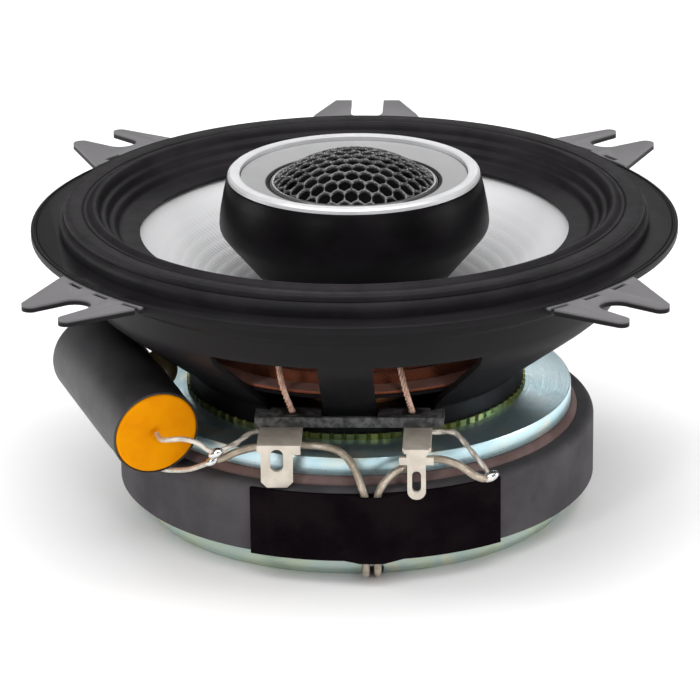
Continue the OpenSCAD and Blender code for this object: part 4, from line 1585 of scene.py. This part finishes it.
@dataclass
class Studio:
    """Floor, lights and camera.

    Attributes:
        azimuth: Camera's turn about Z in degrees.
        elevation: Camera's height above the horizon in degrees.
        distance: Distance from the aim in metres.
        tilt: Small pitch, yaw and roll of the camera in degrees.
        lens: Focal length in millimetres.
        sensor: Width of the camera's sensor in millimetres.
        aim: Point of the speaker that the distance is measured from, in metres.
        floor_size: Side of the square floor in metres.
        room_light: Light that the white room gives.
        ceiling_light: Strength of the wide light overhead.
        ceiling_spread: Angle in degrees that this light seems to fill.
        ceiling_tilt: Its lean in degrees.
        panels: Name, place in metres, size in metres and power in watts of each soft panel.
    """

    azimuth: float = -2.27
    elevation: float = 18.445
    distance: float = 0.66814
    tilt: Spot = (-1.757, 0.078, 0.667)
    lens: float = 219.69
    sensor: float = 36.0
    aim: Spot = (0.0, 0.0, 0.001)
    floor_size: float = 6.0
    room_light: float = 0.1
    ceiling_light: float = 3.65
    ceiling_spread: float = 80.0
    ceiling_tilt: float = 8.0
    panels: tuple[tuple[str, Spot, Flat, float], ...] = (
        ("left_front", (-0.45, -0.75, 0.3), (0.14, 0.26), 1.6),
        ("right_front", (0.4, -0.8, 0.3), (0.14, 0.26), 1.3),
        ("left_panel", (-0.9, 0.1, 0.1), (0.25, 0.5), 3.2),
        ("right_panel", (0.9, 0.0, 0.1), (0.25, 0.5), 3.2),
        ("back_panel", (0.0, 0.9, 0.35), (0.5, 0.16), 0.6),
    )

    def build(self) -> None:
        """Sets the stage round the object."""
        self.build_camera()
        self.build_floor()
        self.build_lights()

    def build_camera(self) -> None:
        """Long lens, a little above the speaker."""
        a, e = math.radians(self.azimuth), math.radians(self.elevation)
        right = Vector((math.cos(a), -math.sin(a), 0.0))
        up = Vector((math.sin(e) * math.sin(a), math.sin(e) * math.cos(a), math.cos(e)))
        ahead = Vector((math.cos(e) * math.sin(a), math.cos(e) * math.cos(a), -math.sin(e)))
        pitch, yaw, roll = (math.radians(t) for t in self.tilt)
        trim = (Matrix.Rotation(roll, 3, "Z") @ Matrix.Rotation(yaw, 3, "Y")
                @ Matrix.Rotation(pitch, 3, "X"))
        rows = trim @ Matrix((right, up, ahead))
        turn = Matrix((rows[0], rows[1], -rows[2])).transposed().to_4x4()
        data = bpy.data.cameras.new("camera")
        data.lens = self.lens
        data.sensor_width = self.sensor
        data.clip_start, data.clip_end = 0.05, 20.0
        camera = bpy.data.objects.new("camera", data)
        bpy.context.scene.collection.objects.link(camera)
        camera.matrix_world = Matrix.Translation(Vector(self.aim) - ahead * self.distance) @ turn
        bpy.context.scene.camera = camera

    def build_floor(self) -> None:
        """Wide pale floor at the foot of the motor."""
        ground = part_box("yoke")[0].z
        Bench.clear()
        bpy.ops.mesh.primitive_plane_add(size=self.floor_size, location=(0.0, 0.0, ground))
        floor = Bench.named("floor")
        bpy.ops.object.transform_apply(location=True)
        floor.data.materials.append(StageFloor().make())

    def build_lights(self) -> None:
        """A white room, a wide light overhead and soft panels round the speaker."""
        self.build_room()
        self.build_ceiling()
        for name, place, size, power in self.panels:
            self.build_panel(name, place, size, power)
        bpy.context.scene.view_settings.view_transform = "Standard"

    def build_room(self) -> None:
        """Room that lights the speaker faintly and that the camera sees as plain white."""
        world = bpy.data.worlds.new("room")
        bpy.context.scene.world = world
        world.use_nodes = True
        tree = world.node_tree
        room = tree.nodes["Background"]
        seen = tree.nodes.new("ShaderNodeBackground")
        for background, strength in ((room, self.room_light), (seen, 1.0)):
            background.inputs["Color"].default_value = (1.0, 1.0, 1.0, 1.0)
            background.inputs["Strength"].default_value = strength
        path = tree.nodes.new("ShaderNodeLightPath")
        chosen = tree.nodes.new("ShaderNodeMixShader")
        tree.links.new(path.outputs["Is Camera Ray"], chosen.inputs[0])
        tree.links.new(room.outputs[0], chosen.inputs[1])
        tree.links.new(seen.outputs[0], chosen.inputs[2])
        tree.links.new(chosen.outputs[0], tree.nodes["World Output"].inputs["Surface"])

    def build_ceiling(self) -> None:
        """Very wide light overhead, leaning a little."""
        sky = bpy.data.lights.new("ceiling", "SUN")
        sky.energy = self.ceiling_light
        sky.angle = math.radians(self.ceiling_spread)
        ceiling = bpy.data.objects.new("ceiling", sky)
        bpy.context.scene.collection.objects.link(ceiling)
        ceiling.rotation_euler = (math.radians(self.ceiling_tilt), 0.0, 0.0)

    def build_panel(self, name: str, place: Spot, size: Flat, power: float) -> None:
        """Soft panel that faces the speaker.

        Args:
            name: Name of the lamp.
            place: Its middle in metres.
            size: Its width and height in metres.
            power: Its power in watts.
        """
        data = bpy.data.lights.new(name, "AREA")
        data.shape = "RECTANGLE"
        data.size, data.size_y = size
        data.energy = power
        lamp = bpy.data.objects.new(name, data)
        bpy.context.scene.collection.objects.link(lamp)
        lamp.location = place
        lamp.rotation_mode = "QUATERNION"
        lamp.rotation_quaternion = (-Vector(place)).to_track_quat("-Z", "Y")


def main() -> None:
    logging.basicConfig(level=logging.INFO, format="%(message)s")
    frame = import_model()
    paint = Paintbox(frame)
    for assembly in (Motor, Basket, Suspension, Tweeter, Terminals, Crossover):
        log.info("%s", assembly.__name__)
        assembly(frame, paint).build()
    Studio().build()
    Bench.clear()


if __name__ == "__main__":
    main()
